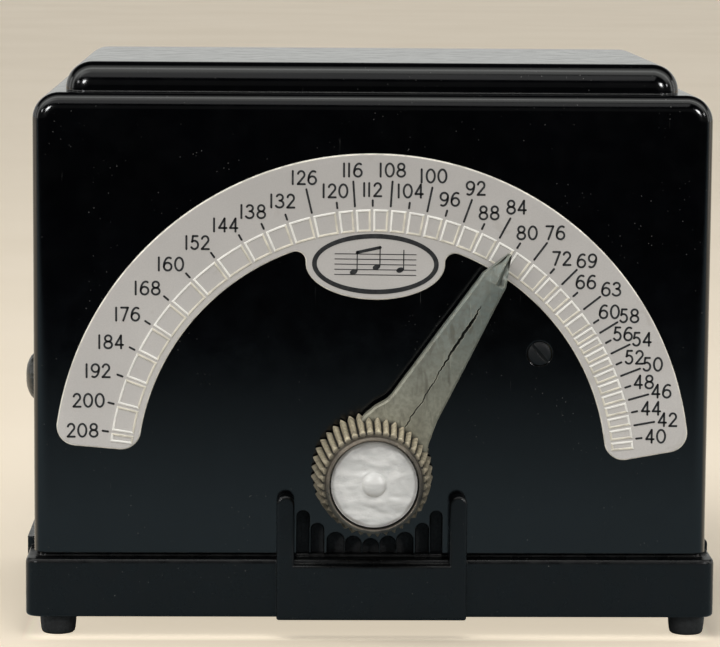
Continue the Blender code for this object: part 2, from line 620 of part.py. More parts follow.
def bearing_brackets():
    """Two upright plates with a bent flange; they carry the roller's shaft and the rail."""
    holes = [circle((ROLLER_Y, WORK_Z), 2.3, 16), circle((RAIL_Y, RAIL_Z), RAIL_R + GAP, 16)]
    for name, side, low in (("bearing_bracket_left", -1, 36.0), ("bearing_bracket_right", 1,
                                                                 43.0)):
        inner, outer = sorted((side * BRACKET_X, side * (BRACKET_X + BRACKET_T)))
        outline = rounded_rectangle(16.5, low, PLATE_A[0] - GAP, 67, 2, 4)
        pin_hole = [circle((HAMMER_Y, HAMMER_Z), 1.8, 16)] if side < 0 else []
        bracket = extrude(name, [outline] + holes + pin_hole, inner, outer, SIDE_VIEW)
        tab0, tab1 = sorted((side * (BRACKET_X + 0.6), side * (BRACKET_X + 6.6)))
        flange = [((tab0, PLATE_A[0] - 1.8, 61), (tab1, PLATE_A[0] - GAP, 66.5))]
        join(bracket, boxes(name + "_flange", flange, CUTTERS))
        paint(bracket, (0.6, 0.58, 0.5), 0.35, 1.0)


def roller_carriage():
    """A rack, a block that slides on the rail, and a fork around the roller."""
    pitch = pi * RACK_MODULE
    pitch_line = DIAL_Z + RACK_MODULE * RACK_PINION_TEETH / 2 + 0.1
    tip, root = pitch_line - 0.95 * RACK_MODULE, pitch_line + 1.2 * RACK_MODULE
    play, slope = 0.12, tan(radians(20))
    half = pitch / 4 - play / 2
    teeth = []
    for index in range(-5, 7):
        middle = DIAL_X + (index + 0.5) * pitch
        at_root = half + (root - pitch_line) * slope
        at_tip = half - (pitch_line - tip) * slope
        teeth += [(middle - at_root, root), (middle - at_tip, tip), (middle + at_tip, tip),
                  (middle + at_root, root)]
    left, right = teeth[0][0] - 1.0, teeth[-1][0] + 1.0
    outline = [(left, root)] + teeth + [(right, root), (right, root + 2.6), (left, root + 2.6)]
    block = [((ROLLER_X - 4.2, 15.6, root + 1.8), (ROLLER_X + 4.2, 27.5, 51.4))]
    carriage = boxes("roller_carriage", block, PARTS)
    rack = extrude("carriage_rack", [outline], 16, 20, collection=CUTTERS)
    combine(carriage, rack, 'UNION', 'MANIFOLD')
    cheeks = [((ROLLER_X + a, 19.5, 51.0), (ROLLER_X + b, 28.5, 64.0))
              for a, b in ((-4.0, -2.6), (2.6, 4.0))]
    join(carriage, boxes("carriage_cheeks", cheeks, CUTTERS))
    drill(carriage, [((ROLLER_X - 9, RAIL_Y, RAIL_Z), (ROLLER_X + 9, RAIL_Y, RAIL_Z),
                      RAIL_R + GAP),
                     ((ROLLER_X - 9, ROLLER_Y, WORK_Z), (ROLLER_X + 9, ROLLER_Y, WORK_Z),
                      2.3)], 16)
    paint(pivot_at(carriage, ROLLER_X, RAIL_Y, RAIL_Z), BRASS, 0.4, 1.0)
    rail = rods("carriage_rail", [((-BRACKET_X - 2.5, RAIL_Y, RAIL_Z),
                                   (BRACKET_X + 2.5, RAIL_Y, RAIL_Z), RAIL_R)], PARTS, 16)
    paint(rail, STEEL, 0.25, 1.0)


def roller_and_cam():
    place = (ROLLER_Y, WORK_Z)
    hub_profile = [(2.3, -2.2), (5.6, -2.2), (5.6, 2.2), (2.3, 2.2)]
    hub = turned("roller_hub", hub_profile, (ROLLER_X, *place), (1, 0, 0), steps=24)
    paint(hub, BRASS, 0.35, 1.0)
    tyre_profile = [(5.9, -1.8), (7.4, -1.8), (ROLLER_R, -1.0), (ROLLER_R, 1.0), (7.4, 1.8),
                    (5.9, 1.8)]
    tyre = turned("roller_tyre", tyre_profile, (ROLLER_X, *place), (1, 0, 0), steps=24)
    paint(tyre, RUBBER, 0.8)
    shaft = rods("roller_shaft", [((-34, *place), (BRACKET_X + 3.5, *place), 2.0)], PARTS, 20)
    paint(pivot_at(shaft, 0, *place), STEEL, 0.25, 1.0)
    outline = []
    for step in range(-CAM_POINTS // 2, CAM_POINTS // 2):
        away_deg = 360 * step / CAM_POINTS
        rise = (LOBE_R - CAM_R) * max(0.0, 1 - abs(away_deg) / LOBE_HALF_DEG)
        outline.append(turn_point(CAM_R + rise, 0, away_deg + CAM_LOBE_DEG, place))
    cam = extrude("beat_cam", [outline, circle(place, 2.3, 16)], CAM_X0, CAM_X1, SIDE_VIEW)
    paint(pivot_at(cam, -30, *place), (0.35, 0.16, 0.06), 0.5)


def friction_drive():
    place = (DISC_X, WORK_Z)
    disc = turned("friction_disc", [(2.3, 0), (DISC_R - 0.5, 0), (DISC_R, -0.5),
                                    (DISC_R, -3.0), (5.0, -3.0), (5.0, -5.0), (2.3, -5.0)],
                  (DISC_X, DISC_Y0, WORK_Z), (0, -1, 0), steps=36)
    paint(disc, (0.65, 0.65, 0.66), 0.3, 1.0)
    shaft = rods("disc_shaft", [((DISC_X, 32.8, WORK_Z), (DISC_X, 53.3, WORK_Z), 2.0)],
                 PARTS, 20)
    paint(pivot_at(shaft, DISC_X, 40, WORK_Z), STEEL, 0.25, 1.0)
    half_tooth = 180.0 / DISC_TEETH
    wheel = gear_outline(place, DISC_TEETH, GEAR_MODULE, half_tooth, 0.25, 2)
    gear = extrude("drive_gear", [wheel, circle(place, 2.3, 16)], 43, 46)
    paint(pivot_at(gear, DISC_X, 44, WORK_Z), (0.3, 0.14, 0.06), 0.5)


def motor():
    place = (ROTOR_X, WORK_Z)
    core = rounded_rectangle(3, 44, 49, 88, 1.5, 3)
    window = rounded_rectangle(13, 72.3, 39, 80.6, 0.8, 3)
    stator = extrude("motor_stator", [core, window, circle(place, 9.8, 36)], 53.8, 63.8)
    paint(stator, (0.3, 0.3, 0.31), 0.5, 0.9)
    ring = [((14.0, 49.4, 72.9), (38.0, 68.2, 96.0))]
    coil = bevel(boxes("motor_coil", ring, PARTS), 2.0, 3)
    core_space = [((10, 53.4, 80.2), (42, 64.2, 88.4))]
    cut(coil, boxes("coil_core_space", core_space, CUTTERS))
    paint(coil, (0.45, 0.3, 0.1), 0.6)
    drum_profile = [(1.8, -4.5), (9.0, -4.5), (9.0, 4.5), (1.8, 4.5)]
    drum = turned("motor_rotor", drum_profile, (ROTOR_X, 58.8, WORK_Z), (0, -1, 0), steps=32)
    paint(drum, (0.5, 0.5, 0.51), 0.4, 1.0)
    teeth = gear_outline(place, ROTOR_TEETH, GEAR_MODULE, 0, 0.25, 3)
    shaft = extrude("rotor_shaft", [teeth], 42, 47)
    join(shaft, rods("rotor_spindle", [((ROTOR_X, 38.2, WORK_Z), (ROTOR_X, 66, WORK_Z), 1.5)],
                     CUTTERS, 16))
    paint(pivot_at(shaft, ROTOR_X, 44, WORK_Z), STEEL, 0.3, 1.0)


def hammer():
    """A bell crank on a pin: its tail meets the cam, its arm holds the head over the block."""
    tail_length, tail_deg = 17.2, 91.5
    arm_length, arm_deg = 26.0, 222.0
    here = (HAMMER_Y, HAMMER_Z)
    tail = [turn_point(u, v, tail_deg, here) for u, v in
            [(0, -1.6)] + arc((tail_length, 0), 1.1, -90, 90, 6) + [(0, 1.6)]]
    arm = [turn_point(u, v, arm_deg, here) for u, v in
           [(0, -1.6)] + arc((arm_length - 1.2, 0), 1.2, -90, 90, 6) + [(0, 1.6)]]
    lever = extrude("hammer_lever", [tail], -31.5, -28.9, SIDE_VIEW)
    join(lever, extrude("hammer_arm", [arm], -31.4, -29.0, SIDE_VIEW, CUTTERS))
    join(lever, rods("hammer_boss", [((-31.6, *here), (-28.8, *here), 3.2)], CUTTERS, 20))
    tip_y, tip_z = turn_point(arm_length - 1.5, 0, arm_deg, here)
    stem = [((-30.2, tip_y, tip_z + 0.5), (-30.2, tip_y, tip_z - 5.0), 1.0)]
    join(lever, rods("hammer_stem", stem, CUTTERS, 12))
    drill(lever, [((-40, *here), (-20, *here), 1.8)], 16)
    paint(pivot_at(lever, -30.2, *here), STEEL, 0.4, 1.0)
    profile = [(0, -2.4), (1.3, -2.4), (1.3, 0), (3.2, 0), (3.4, -0.6), (3.2, -2.6), (2.2, -3.4),
               (0, -3.4)]
    head = turned("hammer_head", profile, (-30.2, tip_y, tip_z - 2.8), (0, 0, 1), steps=20)
    paint(head, (0.5, 0.32, 0.15), 0.7)
    pin = rods("hammer_pin", [((-36, *here), (-23.4, *here), 1.5)], PARTS, 16)
    paint(pin, STEEL, 0.25, 1.0)
    turns, per_turn = 3, 9
    coil = [(-32.3 - 0.9 * i / per_turn, HAMMER_Y + 2.5 * cos(2 * pi * i / per_turn),
             HAMMER_Z + 2.5 * sin(2 * pi * i / per_turn)) for i in range(turns * per_turn + 1)]
    first_leg = (coil[0][0], HAMMER_Y + 2.5, HAMMER_Z - 6)
    last_leg = (coil[-1][0], HAMMER_Y + 2.5, HAMMER_Z + 7)
    spring = tube("hammer_spring", [first_leg] + coil + [last_leg], 0.3)
    paint(spring, STEEL, 0.3, 1.0)


def sound_block():
    low, high = (-42, 8.5, BASE_Z0 + BASE_FLOOR + GAP), (-17, 25, 15.2)
    block = bevel(boxes("sound_block", [(low, high)], PARTS), 0.8, 2)
    return paint(block, (0.42, 0.25, 0.12), 0.55)


# ---------------------------------------------------------------- cord and leads

def bezier(p0, p1, p2, p3, steps):
    points = []
    for i in range(steps):
        t = i / steps
        weights = ((1 - t) ** 3, 3 * t * (1 - t) ** 2, 3 * t * t * (1 - t), t ** 3)
        points.append(sum((Vector(p) * w for p, w in zip((p0, p1, p2, p3), weights)),
                          Vector((0, 0, 0))))
    return points


def coil_point(turns, start_deg=-30.0):
    angle = radians(start_deg) + 2 * pi * turns
    height = CORD_R + 0.1 + COIL_PITCH * max(0.0, COIL_TURNS - 0.25 - turns)
    return Vector((COIL_A * cos(angle), COIL_Y + COIL_B * sin(angle), height))


def mains_cord():
    """Out through the cover, down to a flat coil on the floor, and in to the plug."""
    leave = Vector((CORD_X, 91.0, CORD_Z))
    first, second = coil_point(0), coil_point(0.02)
    heading = (second - first).normalized()
    path = [Vector((CORD_X, 76.0, CORD_Z))]
    path += bezier(leave, leave + Vector((0, 13, 0)), first - heading * 13, first, 9)
    steps = int(20 * COIL_TURNS)
    path += [coil_point(COIL_TURNS * i / steps) for i in range(steps + 1)]
    last, before = coil_point(COIL_TURNS), coil_point(COIL_TURNS - 0.02)
    heading = (last - before).normalized()
    end = Vector((PLUG_X - 1.0, COIL_Y, PLUG_Z))
    path += bezier(last, last + heading * 14, end - Vector((16, 0, 0)), end, 9)[1:]
    path.append(end)
    return paint(tube("mains_cord", path, CORD_R), (0.03, 0.022, 0.018), 0.55)


def mains_plug():
    """A moulded two-blade plug that lies in the middle of the coil, pointing right."""
    body = boxes("mains_plug", [((PLUG_X, COIL_Y - PLUG_HALF, PLUG_Z - PLUG_HALF),
                                 (PLUG_X + PLUG_LENGTH, COIL_Y + PLUG_HALF,
                                  PLUG_Z + PLUG_HALF))], PARTS)
    bevel(body, 3.0, 3)
    face = PLUG_X + PLUG_LENGTH
    blades = [((face - 4, COIL_Y + gap - BLADE_HALF_T, PLUG_Z - BLADE_HALF_W),
               (face + BLADE_LENGTH, COIL_Y + gap + BLADE_HALF_T, PLUG_Z + BLADE_HALF_W))
              for gap in (-BLADE_HALF_GAP, BLADE_HALF_GAP)]
    join(body, boxes("plug_blades", blades, CUTTERS))
    drill(body, [((PLUG_X - 5, COIL_Y, PLUG_Z), (PLUG_X + 6, COIL_Y, PLUG_Z), CORD_R + GAP)],
          16)
    return paint(body, (0.03, 0.022, 0.018), 0.4)


def cord_grommet():
    profile = [(CORD_R + GAP, -4.2), (5.4, -4.2), (5.4, -GAP), (4.0, -GAP), (4.0, 3.3),
               (5.4, 3.3), (5.2, 4.6), (CORD_R + GAP, 4.6)]
    ring = turned("cord_grommet", profile, (CORD_X, COVER_Y0, CORD_Z), (0, 1, 0), steps=20)
    return paint(ring, RUBBER, 0.7)


def lead_wires():
    """One lead from the cord to the switch, and one from the switch to the motor coil."""
    switch_lead = [(40, 74.5, 26), (38, 70, 22), (30, 68, 12), (0, 66, 10.5), (-40, 60, 10.5),
                   (-50, 52, 16), (-54, 46, 30), (-56, 42, 39.4)]
    motor_lead = [(-52, 49, 50), (-49, 58, 62), (-40, 66, 80), (-20, 70, 92), (0, 70, 95),
                  (13.2, 66, 92)]
    for name, path in (("switch_lead", switch_lead), ("motor_lead", motor_lead)):
        paint(tube(name, path, 1.0), (0.35, 0.03, 0.02), 0.5)


base_tray()
case_shell()
back_cover()
case_fasteners()
grille_baffle()
dial_plate()
pointer_arm()
knob_bezel()
knob_disc()
pointer_shaft_group()
mains_switch()
movement_frame()
bearing_brackets()
roller_carriage()
roller_and_cam()
friction_drive()
motor()
hammer()
sound_block()
mains_cord()
mains_plug()
cord_grommet()
lead_wires()
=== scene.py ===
"""The looks of the mains electric metronome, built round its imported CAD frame.

Sizes are in millimetres: X runs right from the case's middle, Y backwards from the tray's
front face and Z up from the floor. at() turns such a place into the frame's metres, and
span() gives a CAD node's box in the same millimetres.
"""

import json
import random
from math import atan2, cos, degrees, exp, hypot, pi, radians, sin, sqrt

import bmesh
import bpy
from mathutils import Matrix, Vector, noise


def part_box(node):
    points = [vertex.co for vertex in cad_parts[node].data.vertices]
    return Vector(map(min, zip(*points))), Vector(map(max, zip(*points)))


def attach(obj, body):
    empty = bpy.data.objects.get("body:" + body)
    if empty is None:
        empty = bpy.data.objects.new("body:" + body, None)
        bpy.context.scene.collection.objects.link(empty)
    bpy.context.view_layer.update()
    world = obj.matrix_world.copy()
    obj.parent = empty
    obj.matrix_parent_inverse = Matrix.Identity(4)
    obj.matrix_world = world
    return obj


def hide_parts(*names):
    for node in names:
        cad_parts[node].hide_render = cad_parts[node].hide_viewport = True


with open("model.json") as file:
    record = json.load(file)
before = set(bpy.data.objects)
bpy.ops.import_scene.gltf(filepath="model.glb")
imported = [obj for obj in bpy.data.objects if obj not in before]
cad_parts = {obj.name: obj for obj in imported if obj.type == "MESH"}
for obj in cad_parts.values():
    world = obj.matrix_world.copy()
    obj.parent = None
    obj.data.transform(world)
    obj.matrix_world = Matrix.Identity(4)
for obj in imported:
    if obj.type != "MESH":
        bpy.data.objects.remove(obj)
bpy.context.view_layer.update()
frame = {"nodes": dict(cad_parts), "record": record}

MM = 0.001
CASE_SET_BACK = 1.9            # the case's front lies this far behind the tray's


def frame_origin():
    low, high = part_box("case_shell")
    return Vector(((low.x + high.x) / 2, low.y - CASE_SET_BACK * MM, 0.0))


ORIGIN = frame_origin()


def at(x, y, z):
    return ORIGIN + Vector((x, y, z)) * MM


def span(node):
    low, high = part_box(node)
    return (low - ORIGIN) / MM, (high - ORIGIN) / MM


def middle(node):
    low, high = span(node)
    return (low + high) / 2


# Driving dimensions, in millimetres
DIAL_X, _, DIAL_Z = middle("knob_disc")     # the pointer's axis
CASE_LOW, CASE_HIGH = span("case_shell")
CASE_HALF_W = CASE_HIGH.x
CASE_Z0 = CASE_LOW.z
SHOULDER_DROP = 5.9                         # the shoulder lies below the raised top
CASE_SWELL, CASE_SHIFT = 0.45, 0.18         # the moulding swells past its nominal half width
CASE_EDGE, CASE_CORNER = 3.2, 5.4
TOP_SIDE_INSET, TOP_FRONT_INSET, TOP_CORNER, TOP_EDGE = 6.3, 6.2, 5.4, 4.6
CASE_WALL = 3.0
SCREW_SEAT_R, SHAFT_HOLE_R, SWITCH_HOLE_R = 2.5, 5.3, 3.8
VENT_HALF_W, VENT_HALF_H, VENT_SPACING, VENT_ROWS = 1.5, 7.0, 10, (44, 84)
TRAY_LEFT, TRAY_RIGHT, TRAY_DEPTH, TRAY_Z0, TRAY_Z1 = -70.2, 70.55, 88.0, 4.5, 16.5
PANEL_HALF_W, PANEL_Y0, PANEL_Z1, POST_W, POST_TOP = 19.35, -2.2, 15.7, 3.6, 30.0
SLOTS = ((-15.2, -12.8, 26.2), (-12.3, -9.8, 23.6), (-9.0, -5.6, 21.7), (-5.4, -2.1, 20.9),
         (-1.8, 1.5, 20.4), (1.8, 5.0, 20.9), (5.2, 8.5, 21.7), (9.1, 11.7, 23.6),
         (12.1, 14.4, 26.2))                # left, right and top of each sound slot
DIAL_R_OUT, DIAL_R_IN, DIAL_END_DEG, DIAL_CORNER, DIAL_TILT = 64.72, 47.64, 4.3, 4.0, -0.5
DIAL_SLANT_DEG = 4.5                        # how far off its radius the dial's right end is cut
BADGE_RISE, BADGE_HALF_W, BADGE_HALF_H, BADGE_FILLET = 42.4, 14.1, 7.3, 2.0
POINTER_DEG, POINTER_TIP_R = 58.6, 52.5
TEETH, BARREL_R_REAR, BARREL_R_FRONT, TOOTH_DEPTH = 40, 12.4, 11.3, 1.25
CORD_R = 2.4


# ---------------------------------------------------------------- meshes

class Shape:
    """The vertices and faces of one piece, gathered in millimetres."""

    def __init__(self):
        self.verts, self.faces, self.slots = [], [], []

    def add_face(self, indices, slot=0):
        self.faces.append(indices)
        self.slots.append(slot)

    def loft(self, rings, caps=(True, True), slot=0, ring_slots=None):
        """Join rings of equal length with quads; caps fill the first and last ring."""
        count, base = len(rings[0]), len(self.verts)
        for ring in rings:
            self.verts.extend(Vector(p) for p in ring)
        for near in range(base, base + (len(rings) - 1) * count, count):
            for i in range(count):
                j = (i + 1) % count
                self.add_face((near + i, near + j, near + count + j, near + count + i),
                              ring_slots[i] if ring_slots else slot)
        last = base + (len(rings) - 1) * count
        if caps[0]:
            self.add_face(tuple(base + i for i in range(count)), slot)
        if caps[1]:
            self.add_face(tuple(reversed([last + i for i in range(count)])), slot)
        return self

    def build(self, name):
        mesh = bpy.data.meshes.new(name)
        mesh.from_pydata([at(*v) for v in self.verts], [], self.faces)
        mesh.polygons.foreach_set("material_index", self.slots)
        bm = bmesh.new()
        bm.from_mesh(mesh)
        bmesh.ops.recalc_face_normals(bm, faces=bm.faces)
        bm.to_mesh(mesh)
        bm.free()
        obj = bpy.data.objects.new(name, mesh)
        bpy.context.scene.collection.objects.link(obj)
        return obj


def combine(obj, other, operation):
    """Join or cut one object with another, and drop the other."""
    modifier = obj.modifiers.new(operation, 'BOOLEAN')
    modifier.operation = operation
    modifier.object = other
    depsgraph = bpy.context.evaluated_depsgraph_get()
    obj.data = bpy.data.meshes.new_from_object(obj.evaluated_get(depsgraph))
    obj.modifiers.clear()
    if not obj.data.polygons:
        raise ValueError(f"{obj.name} has no faces left after {operation}")
    bpy.data.objects.remove(other, do_unlink=True)
    return obj


def cut(obj, shape):
    return combine(obj, shape.build("cutter"), 'DIFFERENCE')


def join(obj, shape):
    return combine(obj, shape.build("joined"), 'UNION')


def piece(obj, nodes, materials, body="root", sharp_deg=32, weighted=False):
    """Shade a finished mesh, give it its materials and tie it to the frame."""
    obj.data.shade_smooth()
    obj.data.set_sharp_from_angle(angle=radians(sharp_deg))
    for material in materials:
        obj.data.materials.append(material)
    if weighted:
        modifier = obj.modifiers.new("flat faces stay flat", 'WEIGHTED_NORMAL')
        modifier.keep_sharp = True
    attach(obj, body)
    if nodes:
        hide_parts(*nodes)
    return obj


# ---------------------------------------------------------------- outlines

def arc(u, v, radius_u, radius_v, first_deg, last_deg, steps):
    angles = [radians(first_deg + (last_deg - first_deg) * i / steps) for i in range(steps + 1)]
    return [(u + radius_u * cos(a), v + radius_v * sin(a)) for a in angles]


def rounded_rectangle(u0, v0, u1, v1, radius, steps=8):
    radius = max(radius, 0.2)
    corners = ((u1 - radius, v1 - radius, 0), (u0 + radius, v1 - radius, 90),
               (u0 + radius, v0 + radius, 180), (u1 - radius, v0 + radius, 270))
    return [p for u, v, start in corners
            for p in arc(u, v, radius, radius, start, start + 90, steps)]


def arch(half_w, bottom, top, radius, steps=14):
    """Square feet and rounded shoulders."""
    right = arc(half_w - radius, top - radius, radius, radius, 0, 90, steps)
    left = arc(radius - half_w, top - radius, radius, radius, 90, 180, steps)
    return [(half_w, bottom)] + right + left + [(-half_w, bottom)]


def round_topped(left, right, bottom, top, steps=12):
    radius = (right - left) / 2
    crown = arc((left + right) / 2, top - radius, radius, radius, 0, 180, steps)
    return [(right, bottom)] + crown + [(left, bottom)]


def smooth(value, low, high):
    """0 below low and 1 above high, with an easy slope between."""
    share = min(1.0, max(0.0, (value - low) / (high - low)))
    return share * share * (3 - 2 * share)


def shifted(outline, along):
    return [(u + along, v) for u, v in outline]


def offset(outline, inset):
    """Move a closed anticlockwise outline inwards, corner by corner."""
    moved = []
    for before, here, after in zip(outline[-1:] + outline[:-1], outline,
                                   outline[1:] + outline[:1]):
        first = Vector((here[0] - before[0], here[1] - before[1])).normalized()
        second = Vector((after[0] - here[0], after[1] - here[1])).normalized()
        inward = Vector((-first.y - second.y, first.x + second.x)).normalized()
        reach = inset / max(0.35, inward.dot(Vector((-second.y, second.x))))
        moved.append((here[0] + inward.x * reach, here[1] + inward.y * reach))
    return moved


def turn(points, deg, centre=(0.0, 0.0)):
    c, s = cos(radians(deg)), sin(radians(deg))
    return [(centre[0] + u * c - v * s, centre[1] + u * s + v * c) for u, v in points]


def in_front_view(outline, depth):
    return [(u, depth, v) for u, v in outline]


def square_to(axis):
    """A direction square to an axis: upwards, or to the right for an upright axis."""
    return Vector((0, 0, 1)) if abs(axis.z) < 0.5 else Vector((1, 0, 0))


def rounded_slab(outline_at, near, far, near_edge, far_edge, steps=8):
    """Front-view slab from near to far; outline_at(inset) gives its outline."""
    rounding = [pi / 2 * i / steps for i in range(steps + 1)]
    depths = [(near + near_edge * (1 - cos(a)), near_edge * (1 - sin(a)))
              for a in (rounding if near_edge else [0])]
    depths += [(far - far_edge * (1 - cos(a)), far_edge * (1 - sin(a)))
               for a in (rounding[::-1] if far_edge else [0])]
    rings = [in_front_view(outline_at(inset), depth) for depth, inset in depths]
    return Shape().loft(rings)


def flared(outline_at, levels):
    """A cutter seen from the front: outline_at(flare) gives its outline at each (depth, flare)."""
    return Shape().loft([in_front_view(outline_at(flare), depth) for depth, flare in levels])


def turned(profile, centre, axis, steps=72, wobble=None):
    """Spin (radius, height) points about an axis; a first or last radius of 0 is a cap."""
    axis = Vector(axis)
    side = square_to(axis)
    other = axis.cross(side)
    rings = []
    for radius, height in profile:
        ring = []
        for i in range(steps):
            a = 2 * pi * i / steps
            reach = max(0.01, radius + (wobble(a, radius, height) if wobble else 0.0))
            ring.append(Vector(centre) + axis * height + side * reach * cos(a)
                        + other * reach * sin(a))
        rings.append(ring)
    hollow = profile[0][0] > 0 and profile[-1][0] > 0
    if hollow:
        rings.append(rings[0])
    return Shape().loft(rings, caps=(not hollow, not hollow))


def hole(centre, axis, radius, chamfer=0.25, depth=6.0):
    """A cutter whose mouth lies at centre and flares a little."""
    profile = [(0, -1.0), (radius + chamfer + 1.0, -1.0), (radius, chamfer), (radius, depth),
               (0, depth)]
    return turned(profile, centre, axis, 48)


# ---------------------------------------------------------------- materials

class Nodes:
    """Adds nodes to a shader tree; a number, a colour or another node's socket feeds an input."""

    def __init__(self, tree):
        self.tree = tree

    def node(self, kind, inputs=None, **settings):
        made = self.tree.nodes.new(f"ShaderNode{kind}")
        for key, value in settings.items():
            setattr(made, key, value)
        for key, value in (inputs or {}).items():
            self.feed(made.inputs[key], value)
        return made

    def feed(self, socket, value):
        if isinstance(value, bpy.types.NodeSocket):
            self.tree.links.new(value, socket)
        else:
            socket.default_value = (*value, 1.0) if isinstance(value, tuple) else value

    def ramp(self, value, low, high, start=0.0, end=1.0):
        return self.node("MapRange", {"Value": value, "From Min": low, "From Max": high,
                                      "To Min": start, "To Max": end}).outputs["Result"]

    def maths(self, operation, first, second):
        return self.node("Math", {0: first, 1: second}, operation=operation).outputs["Value"]

    def times(self, first, second):
        return self.maths('MULTIPLY', first, second)

    def mix(self, factor, first, second):
        made = self.node("Mix", {"Factor": factor, 6: first, 7: second}, data_type='RGBA')
        return made.outputs[2]


class Finish(Nodes):
    """A node material whose colour, roughness and height come from procedural patterns."""

    def __init__(self, name, colour):
        self.material = bpy.data.materials.new(name)
        self.material.use_nodes = True
        super().__init__(self.material.node_tree)
        self.shader = self.tree.nodes["Principled BSDF"]
        self.place = self.node("TexCoord").outputs["Object"]
        self.colour = colour

    def noise(self, size, detail=3.0, stretch=None, distortion=0.0, turn_deg=(0, 0, 0)):
        """Noise whose features are about size millimetres across."""
        where = self.place
        if stretch:
            mapping = self.node("Mapping", {"Vector": where})
            mapping.inputs["Scale"].default_value = stretch
            mapping.inputs["Rotation"].default_value = [radians(a) for a in turn_deg]
            where = mapping.outputs["Vector"]
        return self.node("TexNoise", {"Vector": where, "Scale": 1 / (size * MM), "Detail": detail,
                                      "Distortion": distortion}).outputs["Fac"]

    def patches(self, low, high, *noise_settings):
        """Soft-edged patches: 0 where the noise is below low, 1 where it is above high."""
        return self.ramp(self.noise(*noise_settings), low, high)

    def dots(self, spacing, outer, inner):
        """Scattered dots about spacing millimetres apart: 1 inside inner and 0 outside outer."""
        cells = self.node("TexVoronoi", {"Vector": self.place, "Scale": 1 / (spacing * MM)})
        return self.ramp(cells.outputs["Distance"], outer, inner)

    def rise(self, low, high):
        """0 below one height and 1 above the other, in millimetres."""
        height = self.node("SeparateXYZ", {"Vector": self.place}).outputs["Z"]
        return self.ramp(height, low * MM, high * MM)

    def edge_wear(self, radius, low=0.004, high=0.05):
        """1 near the piece's edges, broken up by noise, and 0 on its flat faces."""
        bevelled = self.node("Bevel", {"Radius": radius * MM}, samples=6).outputs["Normal"]
        plain = self.node("NewGeometry").outputs["Normal"]
        same = self.node("VectorMath", {0: bevelled, 1: plain}, operation='DOT_PRODUCT')
        edge = self.ramp(self.maths('SUBTRACT', 1.0, same.outputs["Value"]), low, high)
        return self.times(edge, self.patches(0.4, 0.6, 1.6, 4))

    def grime(self, reach):
        """Painted shade: 1 deep in narrow hollows, where ambient light is blocked, falling to 0 on
        open faces.
        """
        open_sky = self.node("AmbientOcclusion", {"Distance": reach * MM}, samples=8)
        return self.ramp(open_sky.outputs["AO"], 0.35, 0.85, 1.0, 0.0)

    def layer(self, mask, colour, strength=1.0):
        """Lay another colour over the present one where the mask is 1."""
        if strength < 1:
            mask = self.times(mask, strength)
        self.colour = self.mix(mask, self.colour, colour)

    def set(self, **inputs):
        for key, value in inputs.items():
            self.feed(self.shader.inputs[key.replace("_", " ")], value)

    def shade(self, pattern, smoothest, roughest, **inputs):
        """Give the shader its colour, and a roughness that follows a pattern."""
        rough = self.ramp(pattern, 0.3, 0.7, smoothest, roughest)
        self.set(Base_Color=self.colour, Roughness=rough, **inputs)
        return rough

    def bump(self, height, distance, strength=1.0, soften=None):
        """Bump by a height pattern (distance in mm), over edges softened by a small radius."""
        made = self.node("Bump", {"Height": height, "Distance": distance * MM,
                                  "Strength": strength})
        if soften:
            rounded = self.node("Bevel", {"Radius": soften * MM}, samples=6)
            self.feed(made.inputs["Normal"], rounded.outputs["Normal"])
        self.set(Normal=made.outputs["Normal"])
        return self.material


ARM_TONE = (44, 66)            # heights between which the arm turns from warm to cool grey
TEETH_SHADE_HEIGHTS = (26, 47)          # heights between which the teeth turn from brown to beige: painted shade below, painted light above
DIAL_TONE = (45, 98)           # heights between which the pale dial grows duller


def tint(colour, factor):
    return tuple(min(1.0, c * factor) for c in colour)


def phenolic(name, colour, roughness, dust=0.5, soften=0.35, gloss=0.5):
    """Polished black moulding: faint mottling, dust specks, hairline scratches, rubbed edges."""
    finish = Finish(name, tint(colour, 0.75))
    finish.layer(finish.patches(0.35, 0.7, 14, 4), tint(colour, 1.5))
    specks = finish.times(finish.dots(1.3, 0.1, 0.05), finish.patches(0.5, 0.66, 9, 2))
    scratch = finish.patches(0.7, 0.76, 0.7, 3, (1.0, 1.0, 0.05), 0.25, (0, 38, 0))
    scratch = finish.times(finish.times(scratch, finish.patches(0.56, 0.64, 11, 2)), 0.35)
    marks = finish.times(finish.maths('MAXIMUM', specks, scratch), dust)
    finish.layer(finish.edge_wear(0.45), (0.03, 0.029, 0.026), 0.5)
    finish.layer(marks, (0.2, 0.2, 0.19))
    rough = finish.shade(finish.noise(4, 5), roughness * 0.8, roughness * 1.3, IOR=1.5,
                         Specular_IOR_Level=gloss)
    finish.set(Roughness=finish.maths('ADD', rough, finish.times(marks, 0.4)))
    height = finish.maths('ADD', finish.noise(6, 2), finish.times(marks, 0.5))
    return finish.bump(height, 0.02, 0.2, soften)


